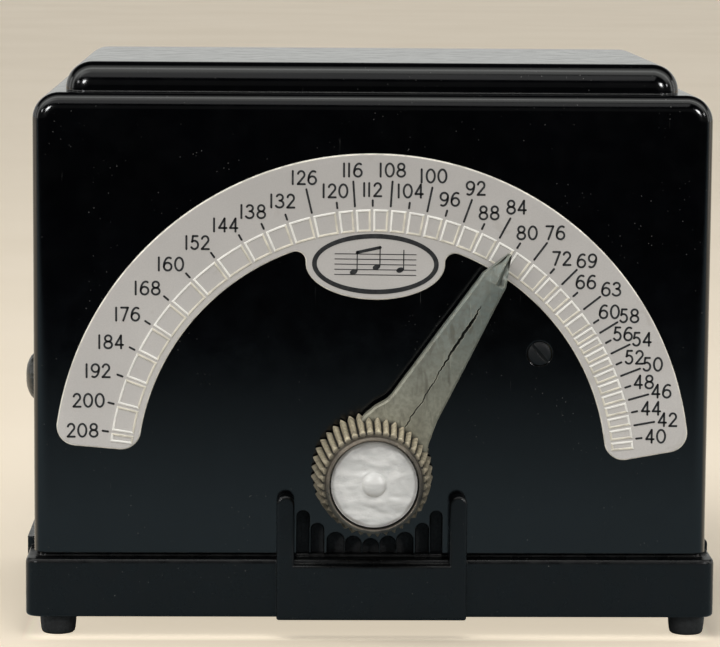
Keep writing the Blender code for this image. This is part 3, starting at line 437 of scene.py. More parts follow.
def cast_metal(name, light, dark, roughness, metallic, stain=0.6, upper=None, heights=(0, 1)):
    """Die-cast alloy: broad tones, long smudges, pits, fine scratches and painted shade in
    hollows.
    """
    finish = Finish(name, light)
    finish.layer(finish.patches(0.36, 0.66, 9, 3, None, 0.4), dark)
    # A second colour above a height; on the barrel's teeth it is painted light above and painted
    # shade below.
    if upper:
        finish.layer(finish.rise(*heights), upper)
    smudge = finish.patches(0.56, 0.68, 3.2, 5, (1.6, 1.0, 0.5), 0.8, (0, 30, 0))
    finish.layer(smudge, tint(dark, 0.42), stain)
    finish.layer(finish.patches(0.42, 0.64, 0.8, 4), tint(dark, 0.62), 0.4)
    scratch = finish.patches(0.63, 0.7, 0.7, 4, (1.6, 1.0, 0.08), 0.2, (0, 31, 0))
    finish.layer(scratch, tint(light, 1.4), 0.3)
    finish.layer(finish.edge_wear(0.3), tint(light, 1.6), 0.5)
    pits = finish.dots(1.1, 0.1, 0.04)
    finish.layer(pits, tint(dark, 0.35), 0.5)
    # Painted shade: narrow hollows darkened by the ambient occlusion mask.
    finish.layer(finish.grime(1.1), (0.018, 0.017, 0.015), 0.9)
    finish.shade(finish.noise(1.5, 5), roughness * 0.75, roughness * 1.25, Metallic=metallic)
    height = finish.maths('SUBTRACT', finish.noise(0.5, 4), finish.times(pits, 0.6))
    return finish.bump(height, 0.03, 0.5, 0.12)


def etched_sheet(name, colour):
    """Pale matt sheet: a fine even grain, faint clouds, a few stains and light specks."""
    finish = Finish(name, tint(colour, 0.95))
    finish.layer(finish.patches(0.3, 0.7, 16, 4), tint(colour, 1.06))
    grain = finish.noise(0.28, 3)
    finish.layer(finish.ramp(grain, 0.35, 0.65), tint(colour, 0.82), 0.3)
    finish.layer(finish.patches(0.64, 0.74, 5, 6, None, 0.7), (0.34, 0.3, 0.24), 0.22)
    finish.layer(finish.dots(3.2, 0.045, 0.03), (0.85, 0.85, 0.8), 0.5)
    finish.layer(finish.edge_wear(0.3, 0.01, 0.08), tint(colour, 1.3), 0.4)
    finish.layer(finish.rise(*DIAL_TONE), tint(colour, 0.6), 0.5)
    finish.shade(grain, 0.42, 0.6, Metallic=0.1)
    return finish.bump(grain, 0.02, 0.5)


def bright_edge(name, colour, metallic=0.0, dulled=0.72):
    """A cut or pressed metal edge: bright, with small dull breaks."""
    finish = Finish(name, colour)
    finish.layer(finish.patches(0.42, 0.62, 2.6, 3), tint(colour, dulled))
    finish.shade(finish.noise(0.6, 3), 0.3, 0.6, Metallic=metallic)
    return finish.bump(finish.noise(0.5, 3), 0.01, 0.4)


def black_ink(name):
    finish = Finish(name, (0.009, 0.009, 0.01))
    finish.layer(finish.patches(0.4, 0.75, 1.1, 4), (0.03, 0.03, 0.03))
    finish.shade(finish.noise(0.5, 3), 0.35, 0.6)
    return finish.bump(finish.noise(0.25, 3), 0.01, 0.5)


def crinkled_foil(name, colour):
    """Silvery white sheet pressed over a disc: soft creases and rubbed grey patches."""
    finish = Finish(name, colour)
    creases = finish.noise(5.5, 4, (1.0, 1.0, 2.2), 0.7, (0, -8, 0))
    finish.layer(finish.ramp(creases, 0.4, 0.62), tint(colour, 0.84))
    rub = finish.patches(0.56, 0.7, 2.0, 6, (1.0, 1.0, 2.4), 0.8, (0, -10, 0))
    finish.layer(rub, tint(colour, 0.6), 0.3)
    grain = finish.noise(0.35, 4)
    finish.shade(grain, 0.3, 0.5, Metallic=0.1)
    return finish.bump(finish.maths('ADD', finish.times(creases, 4.5), grain), 0.045, 0.8)


def plain_metal(name, colour, roughness, stretch=None):
    """Turned, drawn or rolled metal: tool marks along one way, tarnish and worn edges."""
    finish = Finish(name, colour)
    finish.layer(finish.patches(0.4, 0.7, 5, 5), tint(colour, 0.6))
    finish.layer(finish.edge_wear(0.3), tint(colour, 1.5), 0.5)
    lines = finish.noise(0.5, 4, stretch)
    finish.shade(lines, roughness * 0.7, roughness * 1.5, Metallic=1.0)
    return finish.bump(lines, 0.02, 0.5, 0.15)


def dull_solid(name, colour, roughness, grain=0.4, metallic=0.0, fibre=None):
    """Rubber, board, cloth, wood and leather: mottled, grained and scuffed on its edges."""
    finish = Finish(name, tint(colour, 0.75))
    finish.layer(finish.patches(0.3, 0.7, 7, 4), tint(colour, 1.3))
    fibres = finish.noise(grain, 5, fibre, 0.4)
    finish.layer(finish.ramp(fibres, 0.35, 0.7), tint(colour, 0.5), 0.6)
    finish.layer(finish.edge_wear(0.4), tuple(0.5 * c + 0.06 for c in colour), 0.5)
    finish.shade(fibres, roughness * 0.8, min(1.0, roughness * 1.2), Metallic=metallic)
    return finish.bump(fibres, 0.08, 0.6, 0.2)


# How each class of slot in the record is made: a function and what it takes after the colour.
CLASS_FINISH = {
    "gloss_plastic": (phenolic, 0.25),
    "matte_plastic": (dull_solid, 0.55, 0.5),
    "rubber": (dull_solid, 0.7, 0.6),
    "fabric": (dull_solid, 0.85, 0.3, 0.0, (1.0, 1.0, 0.4)),
    "leather": (dull_solid, 0.65, 0.9),
    "wood": (dull_solid, 0.45, 0.9, 0.0, (0.08, 1.0, 1.0)),
    "brushed_steel": (plain_metal, 0.3, (0.1, 1.0, 1.0)),
    "aluminium": (plain_metal, 0.28),
    "brass": (plain_metal, 0.3, (1.0, 0.2, 1.0)),
    "painted_metal": (dull_solid, 0.4, 0.5, 0.4),
    "cast_iron": (plain_metal, 0.45),
}


def finish_cad_nodes():
    """Every CAD node keeps its shape and takes a node material by its slot in the record."""
    made = {}
    for slot in frame["record"]["materials"]:
        make, *settings = CLASS_FINISH[slot["class"]]
        made[slot["slot"]] = make(slot["slot"], tuple(slot["base_color"]), *settings)
    for part in frame["record"]["subparts"]:
        materials = frame["nodes"][part["node"]].data.materials
        materials.clear()
        materials.append(made[part["material_slot"]])
    return made


SLOT_FINISH = finish_cad_nodes()


# ---------------------------------------------------------------- tray, case and cover

def make_tray(material):
    """One moulding: outer wall, ledge, rim and hollow, with the panel and its two posts."""
    profile = [(TRAY_Z0, 0.7), (TRAY_Z0 + 0.15, 0.3), (TRAY_Z0 + 0.5, 0.05), (TRAY_Z0 + 0.9, 0.0),
               (TRAY_Z1 - 0.9, 0.0), (TRAY_Z1 - 0.4, 0.1), (TRAY_Z1 - 0.1, 0.35), (TRAY_Z1, 0.75),
               (TRAY_Z1, 2.6), (TRAY_Z1 + 0.15, 2.85), (TRAY_Z1 + 0.5, 2.9),
               (TRAY_Z1 + 0.7, 3.1), (TRAY_Z1 + 0.7, 4.8), (TRAY_Z1 + 0.5, 5.0),
               (TRAY_Z0 + 2.5, 5.0)]
    rings = []
    for z, inset in profile:
        plan = rounded_rectangle(TRAY_LEFT + inset, inset, TRAY_RIGHT - inset,
                                 TRAY_DEPTH - inset, 2.5 - inset * 0.45)
        rings.append([(x, y, z) for x, y in plan])
    tray = Shape().loft(rings).build("tray")
    join(tray, front_panel())
    for shape in side_lugs():
        join(tray, shape)
    for index in range(1, 5):
        spot = middle(f"base_screw_{index}")
        cut(tray, hole((spot.x, spot.y, TRAY_Z0), (0, 0, 1), 3.3, 0.3, 2.2))
    return piece(tray, ["base_tray"], [material], weighted=True)


def front_panel():
    left, right = DIAL_X - PANEL_HALF_W, DIAL_X + PANEL_HALF_W
    radius = POST_W / 2
    outline = rounded_feet(left, right, span("base_tray")[0].z, 0.5)
    outline += arc(right - radius, POST_TOP - radius, radius, radius, 0, 180, 14)
    outline += [(right - POST_W, PANEL_Z1), (left + POST_W, PANEL_Z1)]
    outline += arc(left + radius, POST_TOP - radius, radius, radius, 0, 180, 14)
    return rounded_slab(lambda inset: offset(outline, inset), PANEL_Y0, CASE_SET_BACK - 0.3,
                        0.55, 0.0, 5)


def rounded_feet(left, right, bottom, radius):
    return (arc(left + radius, bottom + radius, radius, radius, 180, 270, 4)
            + arc(right - radius, bottom + radius, radius, radius, 270, 360, 4))


def side_lugs():
    """Low blocks beside the case: the right one is rounded on top, the left one long and flat."""
    low, left_top, right_top, round_r = TRAY_Z0 + 3.3, TRAY_Z1 + 1.6, TRAY_Z1 + 2.0, 1.0
    right_in, right_out = CASE_HALF_W + CASE_SWELL + CASE_SHIFT + 0.2, 70.6
    left_in, left_out = CASE_SHIFT - CASE_HALF_W - CASE_SWELL - 0.2, -70.8
    right = [(right_in, low), (right_out, low)]
    right += arc(right_out - round_r, right_top - round_r, round_r, round_r, 0, 90, 8)
    right += [(right_in, right_top)]
    left = [(left_out, low), (left_in, low), (left_in, left_top), (left_out, left_top)]
    return [rounded_slab(lambda inset, o=outline: offset(o, inset), near, far, 0.12, 0.12, 2)
            for outline, near, far in ((right, 13.0, 24.0), (left, 16.5, 48.0))]


def make_case(material):
    """The shell with its raised top, sound slots and screw seat."""
    shoulder, back = CASE_HIGH.z - SHOULDER_DROP, CASE_HIGH.y
    front = CASE_SET_BACK
    half = CASE_HALF_W + CASE_SWELL

    def body(d):
        return shifted(arch(half - d, CASE_Z0, shoulder - d, CASE_CORNER - d), CASE_SHIFT)

    def raised_top(d):
        return shifted(arch(half - TOP_SIDE_INSET - d, shoulder - 5, CASE_HIGH.z - d,
                            TOP_CORNER - d), CASE_SHIFT)

    case = rounded_slab(body, front, back, CASE_EDGE, CASE_EDGE, 10).build("case")
    join(case, rounded_slab(raised_top, front + TOP_FRONT_INSET, back - 0.6, TOP_EDGE, TOP_EDGE,
                            10))
    inner = CASE_HALF_W - CASE_WALL
    cut(case, rounded_slab(lambda d: arch(inner - d, 0, shoulder - 3.5 - d, 4 - d),
                           front + CASE_WALL, back + 9, 0.8, 0.8, 3))
    for left, right, top in SLOTS:
        cut(case, flared(lambda flare: round_topped(left + DIAL_X - flare, right + DIAL_X + flare,
                                                    CASE_Z0 - 3, top + flare),
                         ((front - 1, 1.0), (front - 0.02, 0.3), (front + 0.12, 0.1),
                          (front + 0.4, 0.0), (front + 4, 0.0))))
    screw, switch = middle("front_screw"), middle("switch_shaft")
    cut(case, hole((screw.x, front, screw.z), (0, 1, 0), SCREW_SEAT_R, 0.08))
    cut(case, hole((DIAL_X, front, DIAL_Z), (0, 1, 0), SHAFT_HOLE_R))
    cut(case, hole((-CASE_HALF_W, switch.y, switch.z), (1, 0, 0), SWITCH_HOLE_R))
    return piece(case, ["case_shell"], [material], weighted=True)


def make_back_cover(material):
    """The board behind: two rows of vents, a hole for the cord and two for its screws."""
    low, high = span("back_cover")
    cover = rounded_slab(lambda d: rounded_rectangle(low.x + d, low.z + d, high.x - d, high.z - d,
                                                     4 - d), low.y, high.y, 0.0, 0.5,
                         4).build("back_board")
    behind = high.y
    for z in VENT_ROWS:
        for x in [VENT_SPACING * column for column in range(-3, 4)]:
            cut(cover, flared(lambda flare: rounded_rectangle(
                x - VENT_HALF_W - flare, z - VENT_HALF_H - flare, x + VENT_HALF_W + flare,
                z + VENT_HALF_H + flare, VENT_HALF_W + flare - 0.05, 5),
                ((low.y - 1, 0.0), (behind - 0.4, 0.0), (behind + 0.05, 0.4), (behind + 1, 1.2))))
    for node, radius in (("back_screw_left", 1.8), ("back_screw_right", 1.8),
                         ("cord_grommet", 4.3)):
        spot = middle(node)
        cut(cover, hole((spot.x, behind, spot.z), (0, -1, 0), radius))
    return piece(cover, ["back_cover"], [material], weighted=True)


FOOT_SHIFT = 0.9               # the pads are pressed in a little to the right and forwards


def make_feet(material):
    for depth in ("front", "rear"):
        for side in ("left", "right"):
            node = f"foot_{depth}_{side}"
            (low, high), centre = span(node), middle(node)
            r = (high.x - low.x) / 2
            rim = TRAY_Z0 - 0.3
            profile = [(0, 0), (r * 0.74, 0), (r * 0.83, 0.08), (r * 0.9, 0.35), (r * 0.94, 0.9),
                       (r * 0.98, 2.2), (r, 3.4), (r * 0.98, rim - 0.15), (r * 0.94, rim),
                       (1.4, rim), (1.4, high.z), (0, high.z)]
            place = (centre.x + FOOT_SHIFT, centre.y - FOOT_SHIFT, 0)
            obj = turned(profile, place, (0, 0, 1), 56).build(f"{node}_pad")
            piece(obj, [node], [material])


def make_screw(node, direction, slot_deg, material, dome=0.35):
    """A slotted screw head on its shank; direction points into the piece it holds."""
    low, high = span(node)
    axis = Vector(direction)
    centre = (low + high) / 2
    half = (high - low) / 2
    outer = centre - Vector([a * h for a, h in zip(axis, half)])
    radius = max(h for a, h in zip(axis, half) if a == 0)
    length = 2 * sum(abs(a) * h for a, h in zip(axis, half))
    height = radius * 0.58
    profile = [(0, 0), (radius * 0.35, dome * 0.06), (radius * 0.65, dome * 0.3),
               (radius * 0.85, dome * 0.75), (radius * 0.96, dome * 1.3),
               (radius, dome * 1.9), (radius, height - 0.1), (radius - 0.1, height),
               (1.4, height), (1.4, length - 1.4), (0.2, length), (0, length)]
    screw = turned(profile, outer, axis, 56).build(f"{node}_turned")
    across_slot = Matrix.Rotation(radians(slot_deg), 3, axis) @ square_to(axis)
    along_slot = axis.cross(across_slot)
    wall = radius * 0.13
    rings = []
    for reach in (-radius - 1, radius + 1):
        corners = ((-wall - 0.08, -0.6), (-wall, 0.15), (-wall, dome + 0.35), (wall, dome + 0.35),
                   (wall, 0.15), (wall + 0.08, -0.6))
        rings.append([outer + along_slot * reach + across_slot * w + axis * d
                      for w, d in corners])
    cut(screw, Shape().loft(rings))
    return piece(screw, [node], [material])


def make_screws(steel, black):
    make_screw("front_screw", (0, 1, 0), 48, black, 0.2)
    for index in range(1, 5):
        make_screw(f"base_screw_{index}", (0, 0, 1), 20 * index, steel)
    for node, angle in (("back_screw_left", 35), ("back_screw_right", -20)):
        make_screw(node, (0, -1, 0), angle, steel)


# ---------------------------------------------------------------- dial

DIAL_FACE = span("dial_plate")[0].y         # the front of the sheet
DIAL_BACK = span("dial_plate")[1].y
INK = 0.05                                  # how far the ink stands off the sheet
NUMBERS = (*range(40, 61, 2), *range(63, 73, 3), *range(76, 121, 4), *range(126, 145, 6),
           *range(152, 209, 8))
POCKET_R = (49.2, 53.2)
MARK_START, MARK_END = 54.0, 55.5           # the radii between which a short mark runs


def number_angle(value):
    """The direction of a tempo's mark: 40 at the right end, closer together where slow."""
    power = 0.594
    share = (value ** power - 40 ** power) / (208 ** power - 40 ** power)
    return 7.2 + 164.2 * share


def mark_angle(value):
    """The printed mark strays from the pressed scale, to the left low down, then to the right."""
    angle = number_angle(value)
    return angle - 0.05 + 0.3 * cos(radians(2.2 * (angle - 35)))


def tick_end(value):
    """Marks are short on both sides up to 132, and long and short by turns above the middle."""
    index = NUMBERS.index(value)
    long_mark = value <= 126 and (NUMBERS.index(126) - index) % 2 == 0
    return 58.5 + 0.95 * sin(radians(mark_angle(value))) ** 8 if long_mark else MARK_END


def number_stray(value):
    """How far a number's middle lies anticlockwise of its place on the scale, in degrees.

    The numbers lean right near the top, left past 132, and left among the slow short marks.
    """
    angle = number_angle(value)
    stray = 0.1 - 0.45 * exp(-((angle - 98) / 12) ** 2) + 0.5 * smooth(angle, 110, 118)
    stray += 0.37 * exp(-((angle - 120) / 3) ** 2) - 0.62 * exp(-((angle - 109) / 5) ** 2)
    if tick_end(value) == MARK_END:
        stray += 0.65 * exp(-((angle - 42) / 9) ** 2)
    return stray


def number_radius(value):
    """How far out a number's middle lies: above long marks, or close to the end of short ones."""
    angle = radians(mark_angle(value))
    if tick_end(value) > MARK_END:
        return 61.05 + 0.5 * sin(angle) ** 8
    return 57.45 + (1.9 if value >= 100 else 0.75) * abs(cos(angle))


def fillet_to_badge():
    """The small arc that blends the band's inner rim into the badge, on the right-hand side."""
    reach = DIAL_R_IN - BADGE_FILLET
    badge = arc(0, BADGE_RISE, BADGE_HALF_W, BADGE_HALF_H, 0, 359.5, 719)
    low, high = 40.0, 89.0
    for _ in range(40):
        angle = (low + high) / 2
        centre = (reach * cos(radians(angle)), reach * sin(radians(angle)))
        gap = min(hypot(u - centre[0], v - centre[1]) for u, v in badge)
        inside = hypot(centre[0] / BADGE_HALF_W, (centre[1] - BADGE_RISE) / BADGE_HALF_H) < 1
        if inside or gap < BADGE_FILLET:
            high = angle
        else:
            low = angle
    touch = min(badge, key=lambda p: hypot(p[0] - centre[0], p[1] - centre[1]))
    return angle, centre, touch


def dial_outline():
    """Anticlockwise: outer rim, left end, inner rim to the badge, round it, and back."""
    low, high = DIAL_END_DEG, 180 - DIAL_END_DEG
    outer, inner = DIAL_R_OUT - DIAL_CORNER, DIAL_R_IN + DIAL_CORNER
    outer_inset, inner_inset = (degrees(DIAL_CORNER / r) for r in (outer, inner))

    def corner(radius, angle, first, last):
        u, v = radius * cos(radians(angle)), radius * sin(radians(angle))
        return arc(u, v, DIAL_CORNER, DIAL_CORNER, first, last, 10)

    angle, centre, touch = fillet_to_badge()
    points = corner(outer, low + outer_inset, low + DIAL_SLANT_DEG - 90, low + outer_inset)
    points += arc(0, 0, DIAL_R_OUT, DIAL_R_OUT, low + outer_inset, high - outer_inset, 150)[1:-1]
    points += corner(outer, high - outer_inset, high - outer_inset, high + 90)
    points += corner(inner, high - inner_inset, high + 90, high + 180 - inner_inset)
    points += arc(0, 0, DIAL_R_IN, DIAL_R_IN, high - inner_inset, 180 - angle, 50)[1:-1]
    touch_deg = degrees(atan2(touch[1] - centre[1], touch[0] - centre[0])) % 360
    blend = arc(centre[0], centre[1], BADGE_FILLET, BADGE_FILLET, touch_deg, angle, 8)
    start = degrees(atan2((touch[1] - BADGE_RISE) / BADGE_HALF_H, touch[0] / BADGE_HALF_W))
    round_badge = arc(0, BADGE_RISE, BADGE_HALF_W, BADGE_HALF_H, -180 - start, start, 70)
    points += [(-u, v) for u, v in reversed(blend)] + round_badge[1:-1] + blend
    points += arc(0, 0, DIAL_R_IN, DIAL_R_IN, angle, low + inner_inset, 50)[1:-1]
    points += corner(inner, low + inner_inset - DIAL_SLANT_DEG / 4, low + inner_inset + 180,
                     low + DIAL_SLANT_DEG + 270)
    return points


def on_dial(points, depth):
    return in_front_view(turn(points, DIAL_TILT, (DIAL_X, DIAL_Z)), depth)


def make_dial_plate(face, edge):
    outline = dial_outline()
    rings = [on_dial(offset(outline, inset), depth) for depth, inset in
             ((DIAL_BACK, 0.0), (DIAL_FACE + 0.25, 0.0), (DIAL_FACE + 0.07, 0.09),
              (DIAL_FACE, 0.28))]
    plate = Shape().loft(rings, caps=(True, False), slot=1)
    count = len(outline)
    plate.add_face(tuple(3 * count + i for i in range(count)), 0)
    return piece(plate.build("tempo_plate"), ["dial_plate"], [face, edge],
                 sharp_deg=20)


def stroke(shape, points, width, closed=False):
    """A flat pen stroke with round ends, standing off the sheet."""
    foot, top = DIAL_FACE, DIAL_FACE - INK
    count = len(points)
    rings = []
    for i, here in enumerate(points):
        before = points[i - 1] if i or closed else here
        after = points[(i + 1) % count] if i < count - 1 or closed else here
        along = Vector((after[0] - before[0], after[1] - before[1])).normalized()
        side = Vector((-along.y, along.x)) * width / 2
        rings.append([(here[0] + side.x * s, y, here[1] + side.y * s)
                      for s, y in ((1, foot), (1, top), (-1, top), (-1, foot))])
    if closed:
        rings.append(rings[0])
    shape.loft(rings, caps=(not closed, not closed))
    if not closed:
        for u, v in (points[0], points[-1]):
            dot = arc(u, v, width / 2, width / 2, 0, 330, 11)
            shape.loft([in_front_view(dot, foot), in_front_view(dot, top)])


# Centre lines of an engraver's digits in a unit box, as (points, closed) pairs
DIGITS = {
    "0": [(arc(0.5, 0.5, 0.5, 0.5, 0, 345, 23), True)],
    "1": [([(0.5, 0.0), (0.5, 1.0)], False)],
    "2": [(arc(0.48, 0.72, 0.46, 0.28, 165, -28, 14) + [(0.0, 0.0)], False),
          ([(0.0, 0.0), (1.0, 0.0)], False)],
    "3": [(arc(0.45, 0.765, 0.43, 0.235, 155, -90, 14), False),
          (arc(0.42, 0.265, 0.55, 0.265, 90, -150, 16), False)],
    "4": [([(0.74, 1.0), (0.0, 0.27)], False), ([(0.0, 0.27), (1.0, 0.27)], False),
          ([(0.74, 1.0), (0.74, 0.0)], False)],
    "5": [([(0.9, 1.0), (0.22, 1.0)], False), ([(0.22, 1.0), (0.12, 0.56)], False),
          (arc(0.44, 0.32, 0.54, 0.32, 131, -145, 18), False)],
    "6": [(arc(0.5, 0.3, 0.5, 0.3, 0, 345, 23), True),
          (arc(0.66, 0.3, 0.66, 0.7, 180, 68, 12), False)],
    "7": [([(0.0, 1.0), (1.0, 1.0)], False), ([(1.0, 1.0), (0.3, 0.0)], False)],
    "8": [(arc(0.5, 0.76, 0.41, 0.24, 0, 345, 23), True),
          (arc(0.5, 0.26, 0.5, 0.26, 0, 345, 23), True)],
}
DIGITS["9"] = [([(1 - u, 1 - v) for u, v in points], closed) for points, closed in DIGITS["6"]]
DIGIT_WIDTHS = {"0": 2.05, "1": 0.41, "2": 1.84, "3": 1.9, "4": 1.9, "5": 1.78, "6": 1.95,
                "7": 1.78, "8": 1.97, "9": 1.92}
DIGIT_HEIGHT, PEN = 3.04, 0.41


def digit_gap(left, right):
    return 0.6 if "1" in (left, right) else 0.3


def write_number(shape, text, centre):
    """Upright digits centred on a point of the dial."""
    gaps = [digit_gap(a, b) for a, b in zip(text, text[1:])] + [0.0]
    cursor = centre[0] - (sum(DIGIT_WIDTHS[d] for d in text) + sum(gaps)) / 2
    bottom = centre[1] - DIGIT_HEIGHT / 2 + PEN / 2
    for digit, gap in zip(text, gaps):
        width = DIGIT_WIDTHS[digit]
        for points, closed in DIGITS[digit]:
            placed = [(cursor + PEN / 2 + u * (width - PEN), bottom + v * (DIGIT_HEIGHT - PEN))
                      for u, v in points]
            stroke(shape, placed, PEN, closed)
        cursor += width + gap


def make_dial_print(ink):
    """The numbers and their marks."""
    shape = Shape()
    for value in NUMBERS:
        angle = mark_angle(value)
        ends = [polar(r, angle) for r in (MARK_START + PEN / 2, tick_end(value) - PEN / 2)]
        stroke(shape, ends, PEN)
        place = polar(number_radius(value), number_angle(value) + number_stray(value))
        write_number(shape, str(value), place)
    return piece(shape.build("tempo_numbers"), [], [ink])


def polar(radius, deg):
    return (DIAL_X + radius * cos(radians(deg)), DIAL_Z + radius * sin(radians(deg)))


def make_pockets(bright, shaded_glint):
    """Each pressed pocket between two marks shows as a thin rim, whitest outside and at left. Its
    near-white is a painted glint: a lit copy on the outer walls, a shaded, yellower copy on the
    inner.
    """
    shape = Shape()
    inset = degrees(0.49 / 51)
    marks = [(2 * number_angle(v) + mark_angle(v)) / 3 for v in NUMBERS]
    spans = [(a + inset, b - inset) for a, b in zip(marks, marks[1:])]
    spans = [(marks[0] - 1.9, marks[0] - inset)] + spans
    spans += [(marks[-1] + inset, marks[-1] + 1.9)]
    for first, last in spans:
        steps = 6
        outer = [(POCKET_R[1], first + (last - first) * i / steps) for i in range(steps + 1)]
        inner = [(POCKET_R[0], last + (first - last) * i / steps) for i in range(steps + 1)]
        path = [polar(r, a) for r, a in outer + inner]
        rim = []
        for outwards, depth in ((0.27, DIAL_FACE + 0.02), (0.17, DIAL_FACE - 0.14),
                                (-0.1, DIAL_FACE - 0.14), (-0.2, DIAL_FACE + 0.02)):
            rim.append(in_front_view(offset(path, -outwards), depth))
        rim.append(rim[0])
        # Painted highlight on the outer walls (first material) and painted shade on the inner
        # walls (second).
        slots = [0] * (steps + 1) + [1] * (steps + 1)
        shape.loft(rim, caps=(False, False), ring_slots=slots)
    return piece(shape.build("pocket_rims"), [], [bright, shaded_glint], sharp_deg=50)


def make_badge(ink):
    """A plain oval ring round a short stave with three notes."""
    shape = Shape()
    outer, inner = (arc(0, BADGE_RISE, u, v, 0, 355, 71) for u, v in ((12.8, 6.13), (11.85, 5.18)))
    shape.loft([on_dial(outer, DIAL_FACE), on_dial(outer, DIAL_FACE - INK),
                on_dial(inner, DIAL_FACE - INK), on_dial(inner, DIAL_FACE),
                on_dial(outer, DIAL_FACE)], caps=(False, False))

    def draw(points, width):
        stroke(shape, turn(points, DIAL_TILT, (DIAL_X, DIAL_Z)), width)

    spacing, middle_line = 1.05, BADGE_RISE - 0.1
    for line in range(-2, 3):
        draw([(-8.2, middle_line + line * spacing), (8.2, middle_line + line * spacing)], 0.16)
    heads = ((-4.4, -1.5), (0.2, -0.5), (5.0, -1.0))
    for u, line in heads:
        head = turn(arc(0, 0, 0.78, 0.52, 0, 345, 23), 22, (u, middle_line + line * spacing))
        shape.loft([on_dial(head, DIAL_FACE), on_dial(head, DIAL_FACE - INK)])
    tops = [(u + 0.7, middle_line + line * spacing + 4.0) for u, line in heads]
    for (u, line), top in zip(heads, tops):
        draw([(u + 0.7, middle_line + line * spacing + 0.2), top], 0.22)
    draw([tops[0], tops[1]], 0.62)
    return piece(shape.build("badge_print"), [], [ink])


# ---------------------------------------------------------------- pointer and knob

ARM_FRONT, ARM_BACK = -4.6, -1.0
TIP_START = 45.8               # where the arm's flat face ends and its pointed tip begins
ARM_HALF_WIDTHS = ((4.0, 7.5), (9.5, 6.9), (11.5, 6.25), (13.5, 5.8), (16.0, 5.3), (22.0, 4.8),
                   (30.0, 4.15), (41.0, 3.15), (46.5, 2.7), (POINTER_TIP_R - 0.1, 0.35))


def arm_half_width(u):
    for (u0, w0), (u1, w1) in zip(ARM_HALF_WIDTHS, ARM_HALF_WIDTHS[1:]):
        if u <= u1:
            return w0 + (w1 - w0) * (u - u0) / (u1 - u0)
    return ARM_HALF_WIDTHS[-1][1]


def seam_centre(u):
    """The crack wanders a little to each side of the arm's middle line."""
    return -0.3 + 0.3 * noise.noise(Vector((u * 0.3, 1.7, 0))) \
        + 0.26 * noise.noise(Vector((u * 1.3, 4.1, 0)))


def crack_depth(u):
    """The crack starts fine near the hub, opens towards the middle and closes before the tip."""
    opened = 0.45 + 0.55 * smooth(u, 24, 31)
    breaks = 0.75 + 0.5 * noise.noise(Vector((u * 0.4, 9.0, 0)))
    return 1.2 * opened * breaks * smooth(u, 11.5, 12.5) * (1 - smooth(u, 37.5, 41.5))


def arm_section(u):
    """Points across the arm from one side to the other, as (across, depth)."""
    half = arm_half_width(u)
    shoulder, face, crown = ARM_FRONT + 0.85, ARM_FRONT + 0.5, ARM_FRONT
    head = smooth(u, TIP_START, TIP_START + 0.5)
    fall = max(0.0, (u - TIP_START) / (POINTER_TIP_R - TIP_START))
    bevel = min(0.4, half * 0.3)
    seam = seam_centre(u) * min(1.0, half / 3)
    width = 0.12 + 0.2 * smooth(u, 24, 33) * (1 - smooth(u, 37, 41))
    inner = half - bevel
    flare = 0.9 * (1 - smooth(u, 11.5, 15.0))
    sink = 0.55 * head * (1 - fall)
    ridge = crown - 0.25 * head * (1 - fall) + 1.2 * fall
    side = face + 1.6 * fall
    points = [(half + flare, ARM_BACK), (half + flare, shoulder + 0.6 * fall),
              (inner + flare, side)]
    points.append(((inner + seam) / 2 + 0.2 * head, (side + crown) / 2 + sink * 0.2 + 0.5 * fall))
    points += [(seam + width, ridge), (seam, ridge + crack_depth(u)), (seam - width, ridge)]
    points.append(((seam - inner) / 2 - 0.1 * head, (side + crown) / 2 + sink * 1.7 + 0.5 * fall))
    points += [(-inner, side), (-half, shoulder + 0.6 * fall), (-half, ARM_BACK)]
    return points


def make_pointer_arm(material):
    steps = 240
    start = ARM_HALF_WIDTHS[0][0]
    rings = []
    for i in range(steps + 1):
        u = start + (POINTER_TIP_R - start) * i / steps
        ring = []
        for across, depth in arm_section(u):
            rough = 0.03 * noise.noise(Vector((u * 0.8, across * 0.9, depth)))
            (x, z), = turn([(u, across + rough)], POINTER_DEG, (DIAL_X, DIAL_Z))
            ring.append((x, depth + rough, z))
        rings.append(ring)
    arm = Shape().loft(rings).build("arm")
    return piece(arm, ["pointer_arm"], [material], "pointer", sharp_deg=24)


def knob_ring(radius, y, steps):
    """Points round the pointer's axis, at a depth."""
    return [(DIAL_X + radius * cos(2 * pi * i / steps), y,
             DIAL_Z + radius * sin(2 * pi * i / steps)) for i in range(steps)]


def tooth_reach(share):
    """0 in a tooth's root and 1 on its crest, for a place within one tooth from 0 to 1."""
    distance = abs(share - 0.5) * 2
    return min(1.0, max(0.0, (1.03 - distance) / 0.92))


